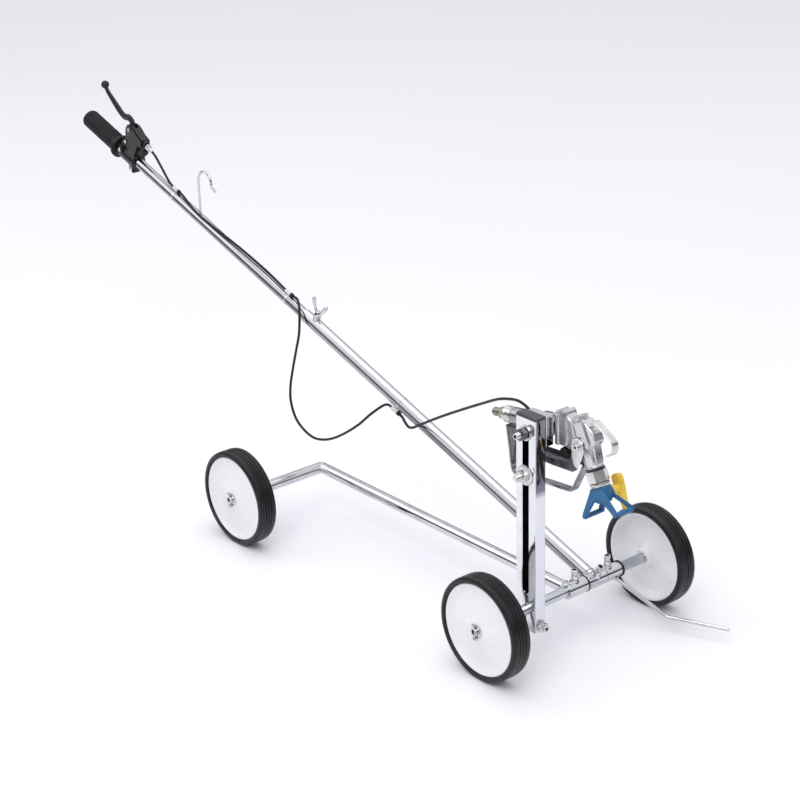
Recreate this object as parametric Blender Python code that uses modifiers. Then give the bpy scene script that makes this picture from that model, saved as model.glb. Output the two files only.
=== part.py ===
"""Line striping machine: a three-wheeled hand cart that carries an airless spray gun.

Sizes are in millimetres and the scene is in metres. +X is the way the cart travels, +Y is its left
and +Z is up. Every place is given from the point on the ground under the middle of the front axle,
and AXLE_X moves that point so that the origin is under the middle of the object's box.
"""

import math

import bmesh
import bpy
from mathutils import Matrix, Vector

MM = 0.001
GAP = 0.3
AXLE_X = 588.2

# Wheels and axles
WHEEL_R = 80.0
DISC_R = 71.0
TYRE_W = 32.8
HALF_TRACK = 169.7
WHEELBASE = 599.5
AXLE_R = 8.0
JOURNAL_R = 6.2
AXLE_BORE_R = 4.1
AXLE_BORE_DEPTH = 14.0
SHOULDER_Y = HALF_TRACK - TYRE_W / 2 - 1.8
AXLE_END = 192.0
HUB_FACE = HALF_TRACK + TYRE_W / 2 + 0.7
COTTER_Y = HUB_FACE + 3.4

# Sleeves on the front axle, from right to left
SLEEVE_R = 12.5
SLEEVE_BORE = AXLE_R + GAP
SLEEVE_1 = (-9.5, 28.0)
SPACER = (28.3, 30.3)
SLEEVE_2 = (30.6, 68.4)
SLEEVE_3 = (69.0, 99.5)
STOP_RING = (99.8, 103.3)
FRAME_TUBE_R = 9.5

# Post
POST_Y = -80.0
POST_X, POST_T, POST_WALL = 41.4, 20.1, 2.0
POST_Z = (47.7, 381.7)
CAP_T = 4.0
SLOT_W = 13.0
SLOT_Z = (106.6, 368.0)
SLIT_W = 2.0
CLAMP_BOLT_Z = 57.0

# Handle: t runs up the tube from the axle, n stands off it, dy is sideways
HANDLE_Y = 48.3
HANDLE_ANGLE = math.radians(18.95)
LOWER_R, LOWER_BORE, LOWER_END = 11.25, 9.8, 731.0
UPPER_R, UPPER_BORE = 9.5, 8.5
UPPER_START, UPPER_END = 480.0, 1413.0
WING_T = 701.0
GRIP_START, GRIP_END, GRIP_R = 1306.0, 1419.0, 17.0
PERCH_T = 1260.0
LEVER_PIVOT = (1278.0, 55.0)
LEVER_T = 7.0
CABLE_R = 2.2
GUIDE_R, GUIDE_BORE, GUIDE_L = 3.6, 2.5, 20.0
GUIDE_1_T, GUIDE_2_T, GUIDE_3_T = 1127.0, 780.0, 464.0

# Gun: s runs down the barrel and q stands forward of it, both from the middle of the tip nut
GUN_Y = -42.0
NUT_X, NUT_Z = 96.3, 307.5
BARREL_ANGLE = math.radians(24.0)
GRIP_SLOPE = math.radians(8.5)
GRIP_AXIS_Z = 361.0
GUN_GRIP_R, GUN_GRIP_BORE = 12.3, 7.5
HEAD_T = 24.0
TRIGGER_PIVOT = (68.0, 350.0)
TIP_S = 23.0
BLOCK_Z = (338.0, 383.0)
BLOCK_Y = (-69.6, -55.0)
STUD_Z, LOW_BOLT_Z = 359.8, 295.0

# Pointer, and the places where it bends and ends
POINTER_R = 3.0
POINTER_PATH = [(0.0, 91.5, 69.5), (80.0, 125.7, 20.0), (169.0, 164.5, 20.0)]

# Control cable: hand-chosen points of its route, as (x, y, z)
CABLE_LOOP = [
    (-715.0, 49.0, 342.0),
    (-697.0, 40.0, 338.0),
    (-683.0, 30.0, 322.0),
    (-684.0, 28.0, 291.0),
    (-693.0, 28.0, 262.0),
    (-706.0, 28.0, 222.0),
    (-716.0, 28.0, 184.0),
    (-716.0, 28.0, 154.0),
    (-700.0, 28.0, 125.0),
    (-663.0, 28.0, 109.0),
    (-626.0, 28.0, 114.0),
    (-584.0, 28.0, 134.0),
    (-535.0, 29.0, 168.0),
    (-503.0, 32.0, 197.0),
    (-480.0, 35.0, 216.0),
    (-468.0, 37.0, 224.0),
]
CABLE_RUN = [
    (-414.0, 37.0, 204.0),
    (-398.0, 34.0, 206.0),
    (-370.0, 30.0, 222.0),
    (-320.0, 25.0, 251.0),
    (-260.0, 16.0, 284.0),
    (-200.0, 4.0, 316.0),
    (-146.0, -10.0, 344.0),
    (-112.0, -18.0, 357.0),
    (-86.0, -23.5, 363.5),
    (-68.0, -25.0, 361.0),
    (-56.0, -25.0, 354.5),
]
CABLE_SPLIT_X = -260.0
CABLE_STOP = (-50.0, -22.8, 346.0)

PARTS = bpy.data.collections.new("line_striping_machine")
CUTTERS = bpy.data.collections.new("cutters")
MATERIALS = {}


def material(name, colour, roughness, metallic):
    mat = bpy.data.materials.new(name)
    mat.use_nodes = True
    shader = mat.node_tree.nodes["Principled BSDF"]
    shader.inputs["Base Color"].default_value = (*colour, 1.0)
    shader.inputs["Roughness"].default_value = roughness
    shader.inputs["Metallic"].default_value = metallic
    MATERIALS[name] = mat


def make_materials():
    material("chrome", (0.78, 0.78, 0.80), 0.12, 1.0)
    material("zinc_steel", (0.62, 0.62, 0.63), 0.35, 1.0)
    material("dark_steel", (0.16, 0.16, 0.17), 0.45, 1.0)
    material("cast_aluminium", (0.66, 0.67, 0.68), 0.42, 1.0)
    material("brass", (0.72, 0.60, 0.36), 0.30, 1.0)
    material("white_disc", (0.86, 0.87, 0.89), 0.35, 0.0)
    material("tyre_rubber", (0.03, 0.03, 0.035), 0.75, 0.0)
    material("black_rubber", (0.02, 0.02, 0.02), 0.70, 0.0)
    material("black_plastic", (0.03, 0.03, 0.03), 0.45, 0.0)
    material("black_lever", (0.04, 0.04, 0.04), 0.35, 0.6)
    material("blue_guard", (0.03, 0.15, 0.36), 0.40, 0.0)
    material("yellow_tip", (0.88, 0.66, 0.12), 0.40, 0.0)


# ---- places ----


def at(x, y, z):
    """A place on the cart as a point of the scene, in metres."""
    return Vector((x + AXLE_X, y, z)) * MM


def on_handle(t, n, dy=0.0):
    cos, sin = math.cos(HANDLE_ANGLE), math.sin(HANDLE_ANGLE)
    z = WHEEL_R + t * sin + n * cos
    return at(-t * cos + n * sin, HANDLE_Y + dy, z)


def on_barrel(s, q, dy=0.0):
    x, z = barrel_xz(s, q)
    return at(x, GUN_Y + dy, z)


def barrel_xz(s, q):
    cos, sin = math.cos(BARREL_ANGLE), math.sin(BARREL_ANGLE)
    return NUT_X + s * sin + q * cos, NUT_Z - s * cos + q * sin


def on_gun_grip(u, dy=0.0):
    cos, sin = math.cos(GRIP_SLOPE), math.sin(GRIP_SLOPE)
    return at(u * cos, GUN_Y + dy, GRIP_AXIS_Z + u * sin)


def aimed(origin, axis):
    """The matrix that puts a shape's +Z along the axis, from the origin."""
    turn = Vector(axis).normalized().to_track_quat("Z", "Y")
    return Matrix.Translation(origin) @ turn.to_matrix().to_4x4()


# ---- shapes ----


def new_object(name, mesh, matrix, mat):
    obj = bpy.data.objects.new(name, mesh)
    obj.matrix_world = matrix
    if mat is None:
        CUTTERS.objects.link(obj)
        obj.hide_render = True
        obj.display_type = "WIRE"
    else:
        PARTS.objects.link(obj)
        obj.data.materials.append(MATERIALS[mat])
    return obj


def rod(name, start, end, radius, mat=None, sides=24, end_radius=None):
    """A cylinder or cone between two points. A rod with no material is a cutter."""
    length = (end - start).length
    mesh = bpy.data.meshes.new(name)
    bm = bmesh.new()
    bmesh.ops.create_cone(
        bm,
        cap_ends=True,
        segments=sides,
        radius1=radius * MM,
        radius2=(radius if end_radius is None else end_radius) * MM,
        depth=length,
        matrix=Matrix.Translation((0, 0, length / 2)),
    )
    bm.to_mesh(mesh)
    bm.free()
    return new_object(name, mesh, aimed(start, end - start), mat)


def box(name, low, high, mat=None, bevel=0.0):
    low, high = at(*low), at(*high)
    size = high - low
    mesh = bpy.data.meshes.new(name)
    bm = bmesh.new()
    bmesh.ops.create_cube(bm, size=1.0, matrix=Matrix.Diagonal((*size, 1.0)))
    bm.to_mesh(mesh)
    bm.free()
    obj = new_object(name, mesh, Matrix.Translation((low + high) / 2), mat)
    if bevel:
        add_bevel(obj, bevel)
    return obj


def add_bevel(obj, width):
    modifier = obj.modifiers.new("bevel", "BEVEL")
    modifier.width = width * MM
    modifier.segments = 1
    modifier.limit_method = "ANGLE"


def turned(name, profile, origin, axis, mat=None, steps=24, ring=False):
    """A turned shape. The profile's (radius, height) points run down its outer side, and a ring's
    profile goes on up its inner side and closes."""
    mesh = bpy.data.meshes.new(name)
    points = [(radius * MM, 0.0, height * MM) for radius, height in profile]
    edges = [(i, i + 1) for i in range(len(points) - 1)]
    if ring:
        edges.append((len(points) - 1, 0))
    mesh.from_pydata(points, edges, [])
    obj = new_object(name, mesh, aimed(origin, axis), mat)
    screw = obj.modifiers.new("screw", "SCREW")
    screw.steps = steps
    screw.render_steps = steps
    screw.use_merge_vertices = True
    screw.merge_threshold = 0.00001
    return obj


def pipe(name, start, end, radius, bore, mat=None, steps=24):
    length = (end - start).length / MM
    profile = [(radius, length), (radius, 0.0), (bore, 0.0), (bore, length)]
    return turned(name, profile, start, end - start, mat, steps, ring=True)


def outline(name, points, thickness, middle_y, mat=None):
    """A flat outline in the XZ plane, given as (x, z), extruded along Y about middle_y."""
    curve = bpy.data.curves.new(name, "CURVE")
    curve.dimensions = "2D"
    curve.fill_mode = "BOTH"
    curve.extrude = thickness / 2 * MM
    spline = curve.splines.new("POLY")
    spline.points.add(len(points) - 1)
    for point, (x, z) in zip(spline.points, points):
        point.co = (x * MM, z * MM, 0.0, 1.0)
    spline.use_cyclic_u = True
    matrix = Matrix.Translation(at(0, middle_y, 0)) @ Matrix.Rotation(math.pi / 2, 4, "X")
    return new_object(name, curve, matrix, mat)


def wire(name, points, radius, mat=None, resolution=2):
    """A round wire or tube through scene points."""
    curve = bpy.data.curves.new(name, "CURVE")
    curve.dimensions = "3D"
    curve.bevel_depth = radius * MM
    curve.bevel_resolution = resolution
    curve.use_fill_caps = True
    spline = curve.splines.new("POLY")
    spline.points.add(len(points) - 1)
    origin = Vector(points[0])
    for point, place in zip(spline.points, points):
        point.co = (*(Vector(place) - origin), 1.0)
    return new_object(name, curve, Matrix.Translation(origin), mat)


def ribbon(path, half_widths):
    """The outline of a flat bar that follows a path of (x, z) points."""
    left, right = [], []
    for i, (x, z) in enumerate(path):
        before = Vector(path[max(i - 1, 0)])
        after = Vector(path[min(i + 1, len(path) - 1)])
        along = (after - before).normalized()
        side = Vector((-along.y, along.x)) * half_widths[i]
        left.append((x + side.x, z + side.y))
        right.append((x - side.x, z - side.y))
    return left + right[::-1]


def smooth(points, spacing):
    """Points at an even spacing on a Catmull-Rom curve through the given ones, in millimetres."""
    knots = [Vector(p) for p in points]
    knots = [2 * knots[0] - knots[1]] + knots + [2 * knots[-1] - knots[-2]]
    dense = []
    for a, b, c, d in zip(knots, knots[1:], knots[2:], knots[3:]):
        for i in range(20):
            u = i / 20
            dense.append(
                0.5 * ((2 * b) + (c - a) * u + (2 * a - 5 * b + 4 * c - d) * u**2
                       + (3 * b - a - 3 * c + d) * u**3)
            )
    dense.append(knots[-2])
    travelled = [0.0]
    for a, b in zip(dense, dense[1:]):
        travelled.append(travelled[-1] + (b - a).length)
    count = max(2, round(travelled[-1] / spacing))
    even, k = [], 0
    for i in range(count + 1):
        goal = travelled[-1] * i / count
        while k < len(dense) - 2 and travelled[k + 1] < goal:
            k += 1
        share = (goal - travelled[k]) / (travelled[k + 1] - travelled[k])
        even.append(dense[k].lerp(dense[k + 1], share))
    return even


# ---- joining and cutting ----


def as_mesh(obj):
    """Turns a curve object into a closed mesh object, so that a Boolean can take it."""
    if obj.type == "MESH":
        return obj
    name, matrix = obj.name, obj.matrix_world.copy()
    bpy.context.view_layer.update()
    graph = bpy.context.evaluated_depsgraph_get()
    mesh = bpy.data.meshes.new_from_object(obj.evaluated_get(graph))
    bm = bmesh.new()
    bm.from_mesh(mesh)
    bmesh.ops.remove_doubles(bm, verts=bm.verts, dist=0.000001)
    bmesh.ops.recalc_face_normals(bm, faces=bm.faces)
    bm.to_mesh(mesh)
    bm.free()
    mat = obj.data.materials[0].name if obj.data.materials else None
    bpy.data.objects.remove(obj)
    mesh.materials.clear()
    return new_object(name, mesh, matrix, mat)


def combine(obj, others, operation):
    obj = as_mesh(obj)
    for i, other in enumerate(others):
        modifier = obj.modifiers.new(f"{operation.lower()}_{i}", "BOOLEAN")
        modifier.operation = operation
        modifier.solver = "EXACT"
        modifier.object = as_mesh(other)
    return obj


def join(obj, *others):
    return combine(obj, others, "UNION")


def cut(obj, *others):
    return combine(obj, others, "DIFFERENCE")


def nut(name, start, end, radius):
    """A hexagon nut for the 10 mm bolts."""
    reach = end - start
    thread = rod(f"{name}_bore", start - reach, end + reach, 5.3)
    cut(rod(name, start, end, radius, "zinc_steel", 6), thread)


# ---- wheels ----


def wheel(side, x, y):
    """A tyre on a dished disc with a moulded hub. Its outer side faces away from the cart."""
    outward = 1.0 if y > 0 else -1.0
    centre = at(x, y, WHEEL_R)
    axis = (0, outward, 0)
    half = TYRE_W / 2
    groove = 1.4
    heights = [half - 4.6, half - 6.4, 4.2, 2.4, -2.4, -4.2, 6.4 - half, 4.6 - half]
    tread = []
    for upper, lower in zip(heights[0::2], heights[1::2]):
        tread += [(WHEEL_R, upper), (WHEEL_R - groove, upper - 0.4)]
        tread += [(WHEEL_R - groove, lower + 0.4), (WHEEL_R, lower)]
    tyre = [(DISC_R, half - 1.0), (DISC_R + 3.0, half), (WHEEL_R - 3.0, half)]
    tyre += [(WHEEL_R - 0.8, half - 2.0)] + tread + [(WHEEL_R - 0.8, 2.0 - half)]
    tyre += [(WHEEL_R - 3.0, -half), (DISC_R + 3.0, -half), (DISC_R, 1.0 - half)]
    turned(f"tyre_{side}", tyre, centre, axis, "tyre_rubber", 32, ring=True)
    rim = DISC_R - GAP
    disc = [(rim, 13.0), (rim, -13.0), (rim - 4.0, -13.0), (rim - 8.0, -2.0), (18.0, 0.0)]
    disc += [(14.0, -17.0), (JOURNAL_R + GAP, -17.0), (JOURNAL_R + GAP, 17.0), (14.0, 17.0), (18.0, 6.0)]
    disc += [(rim - 10.0, 4.0), (rim - 4.0, 13.0)]
    turned(f"wheel_disc_{side}", disc, centre, axis, "white_disc", 32, ring=True)
    washer_y = outward * (HUB_FACE + 0.2)
    start = at(x, washer_y, WHEEL_R)
    end = at(x, washer_y + outward * 1.4, WHEEL_R)
    pipe(f"axle_washer_{side}", start, end, 11.0, JOURNAL_R + GAP, "zinc_steel", 24)
    pin = [at(x, outward * COTTER_Y, WHEEL_R + offset) for offset in (-10.5, 10.5)]
    rod(f"cotter_pin_{side}", *pin, 1.2, "zinc_steel", 8)


def cotter_hole(name, x, y):
    return rod(name, at(x, y, WHEEL_R - 12), at(x, y, WHEEL_R + 12), 1.5, None, 8)


def front_axle():
    blind = AXLE_END - AXLE_BORE_DEPTH
    half = [(0.0, blind), (AXLE_BORE_R, blind), (AXLE_BORE_R, AXLE_END), (JOURNAL_R, AXLE_END)]
    half += [(JOURNAL_R, SHOULDER_Y), (AXLE_R, SHOULDER_Y)]
    profile = half + [(radius, -y) for radius, y in reversed(half)]
    axle = turned("front_axle", profile, at(0, 0, WHEEL_R), (0, 1, 0), "chrome", 24)
    cut(axle, cotter_hole("cotter_hole_left", 0, COTTER_Y), cotter_hole("cotter_hole_right", 0, -COTTER_Y))


# ---- chassis ----


def bent_tube(name, start, corner, end):
    """Two round tubes mitred and welded at a square corner."""
    return wire(name, [start, corner, end], FRAME_TUBE_R, None, 4)


def rear_frame():
    """The first sleeve, its rail, and the arm welded across its end that carries the rear stub axle."""
    sleeve = rod("rear_frame", at(0, SLEEVE_1[0], WHEEL_R), at(0, SLEEVE_1[1], WHEEL_R), SLEEVE_R, "chrome")
    corner = at(-WHEELBASE, 0, WHEEL_R)
    tube = bent_tube("rail_and_arm", at(-5, 0, WHEEL_R), corner, at(-WHEELBASE, -SHOULDER_Y, WHEEL_R))
    stub_end = at(-WHEELBASE, -AXLE_END, WHEEL_R)
    stub = rod("rear_stub", at(-WHEELBASE, -SHOULDER_Y + 6, WHEEL_R), stub_end, JOURNAL_R)
    frame = join(sleeve, tube, stub, lock_boss("frame_boss", 8.5, 0.0))
    blind = at(-WHEELBASE, AXLE_BORE_DEPTH - AXLE_END, WHEEL_R)
    stub_bore = rod("rear_stub_bore", blind, at(-WHEELBASE, -AXLE_END - 5, WHEEL_R), AXLE_BORE_R)
    hole = cotter_hole("cotter_hole_rear", -WHEELBASE, -COTTER_Y)
    cut(frame, axle_bore("frame_bore", SLEEVE_1), boss_hole("frame_boss_hole", 8.5, 0.0))
    cut(frame, stub_bore, hole)


def axle_bore(name, sleeve):
    return rod(name, at(0, sleeve[0] - 5, WHEEL_R), at(0, sleeve[1] + 5, WHEEL_R), SLEEVE_BORE)


def from_axle(y, distance, lean):
    """A point beside the front axle, at this distance and this lean forward of straight up."""
    return at(distance * math.sin(lean), y, WHEEL_R + distance * math.cos(lean))


def lock_boss(name, y, lean):
    return rod(name, from_axle(y, 10.0, lean), from_axle(y, 21.0, lean), 6.2, None, 6)


def boss_hole(name, y, lean):
    return rod(name, from_axle(y, 8.0, lean), from_axle(y, 30.0, lean), 3.6, None, 16)


def lock_bolt(name, y, lean):
    """The socket bolt that pinches a sleeve on the axle."""
    profile = [(0.0, 18.0), (3.2, 18.0), (3.2, 22.0), (5.3, 22.0)]
    profile += [(5.3, 12.7), (3.3, 12.7), (3.3, 0.0), (0.0, 0.0)]
    turned(name, profile, from_axle(y, 8.6, lean), (math.sin(lean), 0, math.cos(lean)), "zinc_steel", 12)


def axle_rings():
    for name, span, radius in (("spacer_ring", SPACER, 13.2), ("stop_ring", STOP_RING, 12.8)):
        start, end = at(0, span[0], WHEEL_R), at(0, span[1], WHEEL_R)
        pipe(name, start, end, radius, SLEEVE_BORE, "black_rubber")


def post():
    low = (-POST_X / 2, POST_Y - POST_T / 2, POST_Z[0])
    high = (POST_X / 2, POST_Y + POST_T / 2, POST_Z[1])
    tube = box("post", low, high, "chrome")
    wall = POST_WALL
    inner_low = (low[0] + wall, low[1] + wall, low[2] - 5)
    hollow = box("post_hollow", inner_low, (high[0] - wall, high[1] - wall, high[2] + 5))
    front, back = POST_Y - POST_T, POST_Y + POST_T
    half = SLOT_W / 2
    slot = box("post_slot", (-half, front, SLOT_Z[0] + half), (half, back, SLOT_Z[1] - half))
    foot = rod("slot_foot", at(0, front, SLOT_Z[0] + half), at(0, back, SLOT_Z[0] + half), half)
    head = rod("slot_head", at(0, front, SLOT_Z[1] - half), at(0, back, SLOT_Z[1] - half), half)
    slit = box("post_slit", (-SLIT_W / 2, front, POST_Z[0] - 5), (SLIT_W / 2, back, SLOT_Z[0] + half))
    hole = rod("post_axle_hole", at(0, front, WHEEL_R), at(0, back, WHEEL_R), AXLE_R + GAP)
    bolt_start, bolt_end = at(-POST_X, POST_Y, CLAMP_BOLT_Z), at(POST_X, POST_Y, CLAMP_BOLT_Z)
    bolt_hole = rod("post_bolt_hole", bolt_start, bolt_end, 5.3)
    cut(tube, hollow, slot, foot, head, slit, hole, bolt_hole)


def post_cap():
    half_x, half_y = POST_X / 2, POST_T / 2
    top = POST_Z[1] + GAP
    low, high = (-half_x, POST_Y - half_y, top), (half_x, POST_Y + half_y, top + CAP_T)
    cap = box("post_cap", low, high, "black_plastic")
    inset = POST_WALL + GAP
    plug_low = (-half_x + inset, POST_Y - half_y + inset, top - 12)
    plug = box("cap_plug", plug_low, (half_x - inset, POST_Y + half_y - inset, top + 1))
    join(cap, plug)


def clamp_bolt():
    """The bolt through the foot of the post that pinches it on the axle, and its nut."""
    face = POST_X / 2
    start, end = at(-face - 2, POST_Y, CLAMP_BOLT_Z), at(face + 13, POST_Y, CLAMP_BOLT_Z)
    shaft = rod("clamp_bolt", start, end, 5.0, "zinc_steel", 16)
    seat = at(-face - GAP, POST_Y, CLAMP_BOLT_Z)
    head = rod("clamp_bolt_head", at(-face - 8, POST_Y, CLAMP_BOLT_Z), seat, 9.0, None, 6)
    join(shaft, head)
    nut("clamp_nut", at(face + GAP, POST_Y, CLAMP_BOLT_Z), at(face + 9, POST_Y, CLAMP_BOLT_Z), 9.5)


# ---- handle ----


def handle_lower():
    start, end = at(0, SLEEVE_2[0], WHEEL_R), at(0, SLEEVE_2[1], WHEEL_R)
    sleeve = rod("handle_lower_tube", start, end, SLEEVE_R, "chrome")
    tube = pipe("lower_pipe", on_handle(5, 0), on_handle(LOWER_END, 0), LOWER_R, LOWER_BORE)
    nut = rod("wing_nut_boss", on_handle(WING_T, 10.3), on_handle(WING_T, 18.0), 7.5, None, 6)
    lean = math.radians(28.0)
    y = HANDLE_Y + 0.5
    body = join(sleeve, tube, nut, lock_boss("handle_boss", y, lean))
    screw_hole = rod("wing_hole", on_handle(WING_T, 8.0), on_handle(WING_T, 30.0), 3.3, None, 16)
    cut(body, axle_bore("handle_bore", SLEEVE_2), screw_hole, boss_hole("handle_boss_hole", y, lean))
    lock_bolt("handle_lock_bolt", y, lean)


def cable_guide(name, t, stand_off, angle):
    """A clip beside the tube, at an angle about it from straight up towards the cart's left."""
    n, dy = stand_off * math.cos(angle), stand_off * math.sin(angle)
    half = GUIDE_L / 2
    start, end = on_handle(t - half, n, dy), on_handle(t + half, n, dy)
    pipe(name, start, end, GUIDE_R, GUIDE_BORE, "black_plastic", 12)


def wing_bolt():
    """The winged screw that holds the two tubes together. Its wings stand either side of its axis."""
    shaft = rod("wing_bolt", on_handle(WING_T, UPPER_R + GAP), on_handle(WING_T, 22.0), 3.0, "chrome", 16)
    hub = rod("wing_hub", on_handle(WING_T, 19.0), on_handle(WING_T, 28.0), 6.0)
    wings = []
    for side in (-1, 1):
        foot = on_handle(WING_T + side * 2, 23.0)
        tip = on_handle(WING_T + side * 17, 44.0)
        wings.append(rod("wing_left" if side < 0 else "wing_right", foot, tip, 3.4, None, 12, 4.6))
    join(shaft, hub, *wings)


def handle_upper():
    start, end = on_handle(UPPER_START, 0), on_handle(UPPER_END, 0)
    pipe("handle_upper_tube", start, end, UPPER_R, UPPER_BORE, "chrome")
    length = GRIP_END - GRIP_START
    bore = UPPER_R + GAP
    profile = [
        (0.0, length), (GRIP_R - 3.0, length), (GRIP_R, length - 3.0), (GRIP_R, 8.0), (GRIP_R + 5.0, 5.0),
        (GRIP_R + 5.0, 1.0), (GRIP_R + 3.0, 0.0), (bore, 0.0), (bore, length - 5.5), (0.0, length - 5.5),
    ]
    start = on_handle(GRIP_START, 0)
    turned("handle_grip", profile, start, on_handle(GRIP_END, 0) - start, "black_rubber", 24)


def hose_hook():
    path = [(1050, 12.4), (1056, 30), (1064, 52), (1070, 70), (1068, 83), (1059, 92), (1047, 94)]
    path += [(1037, 88), (1031, 79), (1017, 75)]
    points = smooth([(t, n, 0.0) for t, n in path], 6.0)
    wire("hose_hook", [on_handle(p.x, p.y) for p in points], 2.4, "chrome")


def handle_outline(name, points, thickness, mat=None):
    """An outline given in the handle's (t, n), extruded sideways."""
    places = [on_handle(t, n) / MM for t, n in points]
    return outline(name, [(p.x - AXLE_X, p.z) for p in places], thickness, HANDLE_Y, mat)


def lever_perch():
    arm = handle_outline(
        "lever_perch",
        [(1252, 11.5), (1299, 11.5), (1299, 16), (1293, 25), (1286, 36), (1291, 46), (1290, 58), (1281, 64),
         (1270, 63), (1262, 54), (1236, 53), (1236, 39), (1249.5, 33)],
        20.0, "black_lever",
    )
    collar = rod("perch_collar", on_handle(PERCH_T - 11, 0), on_handle(PERCH_T + 43, 0), 14.5)
    bore = rod("perch_bore", on_handle(PERCH_T - 20, 0), on_handle(PERCH_T + 50, 0), UPPER_R + GAP)
    jaw = box_on_handle("perch_jaw", (1252, 1268), (-24, -8), (-8, 8))
    fork = handle_outline("perch_fork", [(1266, 39), (1300, 39), (1300, 80), (1266, 80)], LEVER_T + 0.8)
    start, end = on_handle(*LEVER_PIVOT, -20), on_handle(*LEVER_PIVOT, 20)
    pin_hole = rod("perch_pin_hole", start, end, 3.3, None, 16)
    knob = rod("perch_knob", on_handle(1240, 20.0), on_handle(1240, 42.0), 6.0)
    cut(join(arm, collar, jaw, knob), bore, fork, pin_hole)
    start, end = on_handle(*LEVER_PIVOT, -11.5), on_handle(*LEVER_PIVOT, 11.5)
    pin = rod("lever_pin", start, end, 3.0, "zinc_steel", 12)
    head = rod("lever_pin_head", on_handle(*LEVER_PIVOT, 10.3), on_handle(*LEVER_PIVOT, 12.6), 4.6, None, 12)
    join(pin, head)


def box_on_handle(name, t_span, n_span, y_span, mat=None):
    (t0, t1), (n0, n1) = t_span, n_span
    corners = [(t0, n0), (t1, n0), (t1, n1), (t0, n1)]
    return handle_outline(name, corners, y_span[1] - y_span[0], mat)


def brake_lever():
    path = [(1270, 50), (1278, 55), (1286, 66), (1297, 68), (1308, 64)]
    path += [(1322, 65), (1349, 74), (1372, 83), (1380, 89)]
    widths = [6.0, 7.0, 6.5, 5.5, 5.0, 5.0, 4.6, 4.4, 4.0]
    blade = handle_outline("brake_lever", ribbon(path, widths), LEVER_T, "black_lever")
    mesh = bpy.data.meshes.new("lever_ball")
    bm = bmesh.new()
    bmesh.ops.create_uvsphere(bm, u_segments=16, v_segments=10, radius=7.0 * MM)
    bm.to_mesh(mesh)
    bm.free()
    ball = new_object("lever_ball", mesh, Matrix.Translation(on_handle(1381, 90)), None)
    hole = rod("lever_pin_bore", on_handle(*LEVER_PIVOT, -10), on_handle(*LEVER_PIVOT, 10), 3.3, None, 16)
    cut(join(blade, ball), hole)


def cable_adjuster():
    start, end = on_handle(1234.8, 46.2), on_handle(1213.8, 43.2)
    profile = [(0.0, 22.0), (3.2, 22.0), (3.2, 14.0), (5.6, 13.0)]
    profile += [(5.6, 4.0), (4.0, 3.0), (4.0, 0.0), (0.0, 0.0)]
    turned("cable_adjuster", profile, start, end - start, "zinc_steel", 16)


def brake_lever_group():
    lever_perch()
    brake_lever()
    cable_adjuster()


# ---- gun ----


def gun_head():
    """The cast body, with the eight-sided barrel that the tip nut screws on."""
    profile = [
        (20.5, 338), (20.5, 393), (36, 395), (47, 382), barrel_xz(-86, -12.0), barrel_xz(-86, 13.0),
        (93, 377), (100, 363), barrel_xz(-40, 12.0), barrel_xz(-38, -10.0), (56, 336), (40, 338),
    ]
    head = outline("gun_head", profile, HEAD_T, GUN_Y, "cast_aluminium")
    barrel = rod("gun_barrel", on_barrel(-55, 0), on_barrel(-15.4, 0), 12.2, None, 8)
    bore = rod("needle_bore", on_barrel(-110, 0), on_barrel(0, 0), 3.4, None, 16)
    pin = rod("trigger_pin_bore", at(TRIGGER_PIVOT[0], GUN_Y - 30, TRIGGER_PIVOT[1]),
              at(TRIGGER_PIVOT[0], GUN_Y + 30, TRIGGER_PIVOT[1]), 3.3, None, 16)
    plug = rod("head_plug", on_barrel(-92, 0), on_barrel(-84, 0), 12.0, None, 6)
    cut(join(head, barrel, plug), bore, pin)
    rod("needle", on_barrel(-80, 0), on_barrel(-12, 0), 2.4, "zinc_steel", 12)


def gun_grip():
    pipe("gun_grip", on_gun_grip(-76), on_gun_grip(18), GUN_GRIP_R, GUN_GRIP_BORE, "dark_steel")
    rod("paint_filter", on_gun_grip(-70), on_gun_grip(12), 5.5, "white_disc", 12)
    collar = rod("grip_fitting", on_gun_grip(-91), on_gun_grip(-76.3), 12.5, "zinc_steel")
    join(collar, rod("fitting_hex", on_gun_grip(-99), on_gun_grip(-90), 10.5, None, 6))
    hose_end = rod("hose_connector", on_gun_grip(-118), on_gun_grip(-99.3), 6.6, "brass", 16)
    join(hose_end, rod("connector_collar", on_gun_grip(-104), on_gun_grip(-99.3), 8.0, None, 16))


def gun_outline_wire():
    """The guard round the trigger, and the hook on the gun's nose: both are bent flat bar."""
    path = [(73.5, 322), (68, 311), (48, 274), (-1, 268.6), (-70, 261), (-76, 268), (-80, 300), (-86, 333)]
    strap = outline("trigger_guard", ribbon(path, [2.4] * len(path)), 12.0, GUN_Y, "dark_steel")
    tail = outline("guard_tail", [(-77, 274), (-88, 332.5), (-62, 332.5), (-74, 274)], 10.0, GUN_Y)
    join(strap, tail)
    hook = [(86, 387.5), (90, 391), (100, 386.5), (116, 378)]
    hook += [(125, 372), (127.5, 366), (126, 355), (115, 348)]
    outline("gun_hook", ribbon(hook, [1.3] * len(hook)), 12.0, GUN_Y, "zinc_steel")


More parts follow.
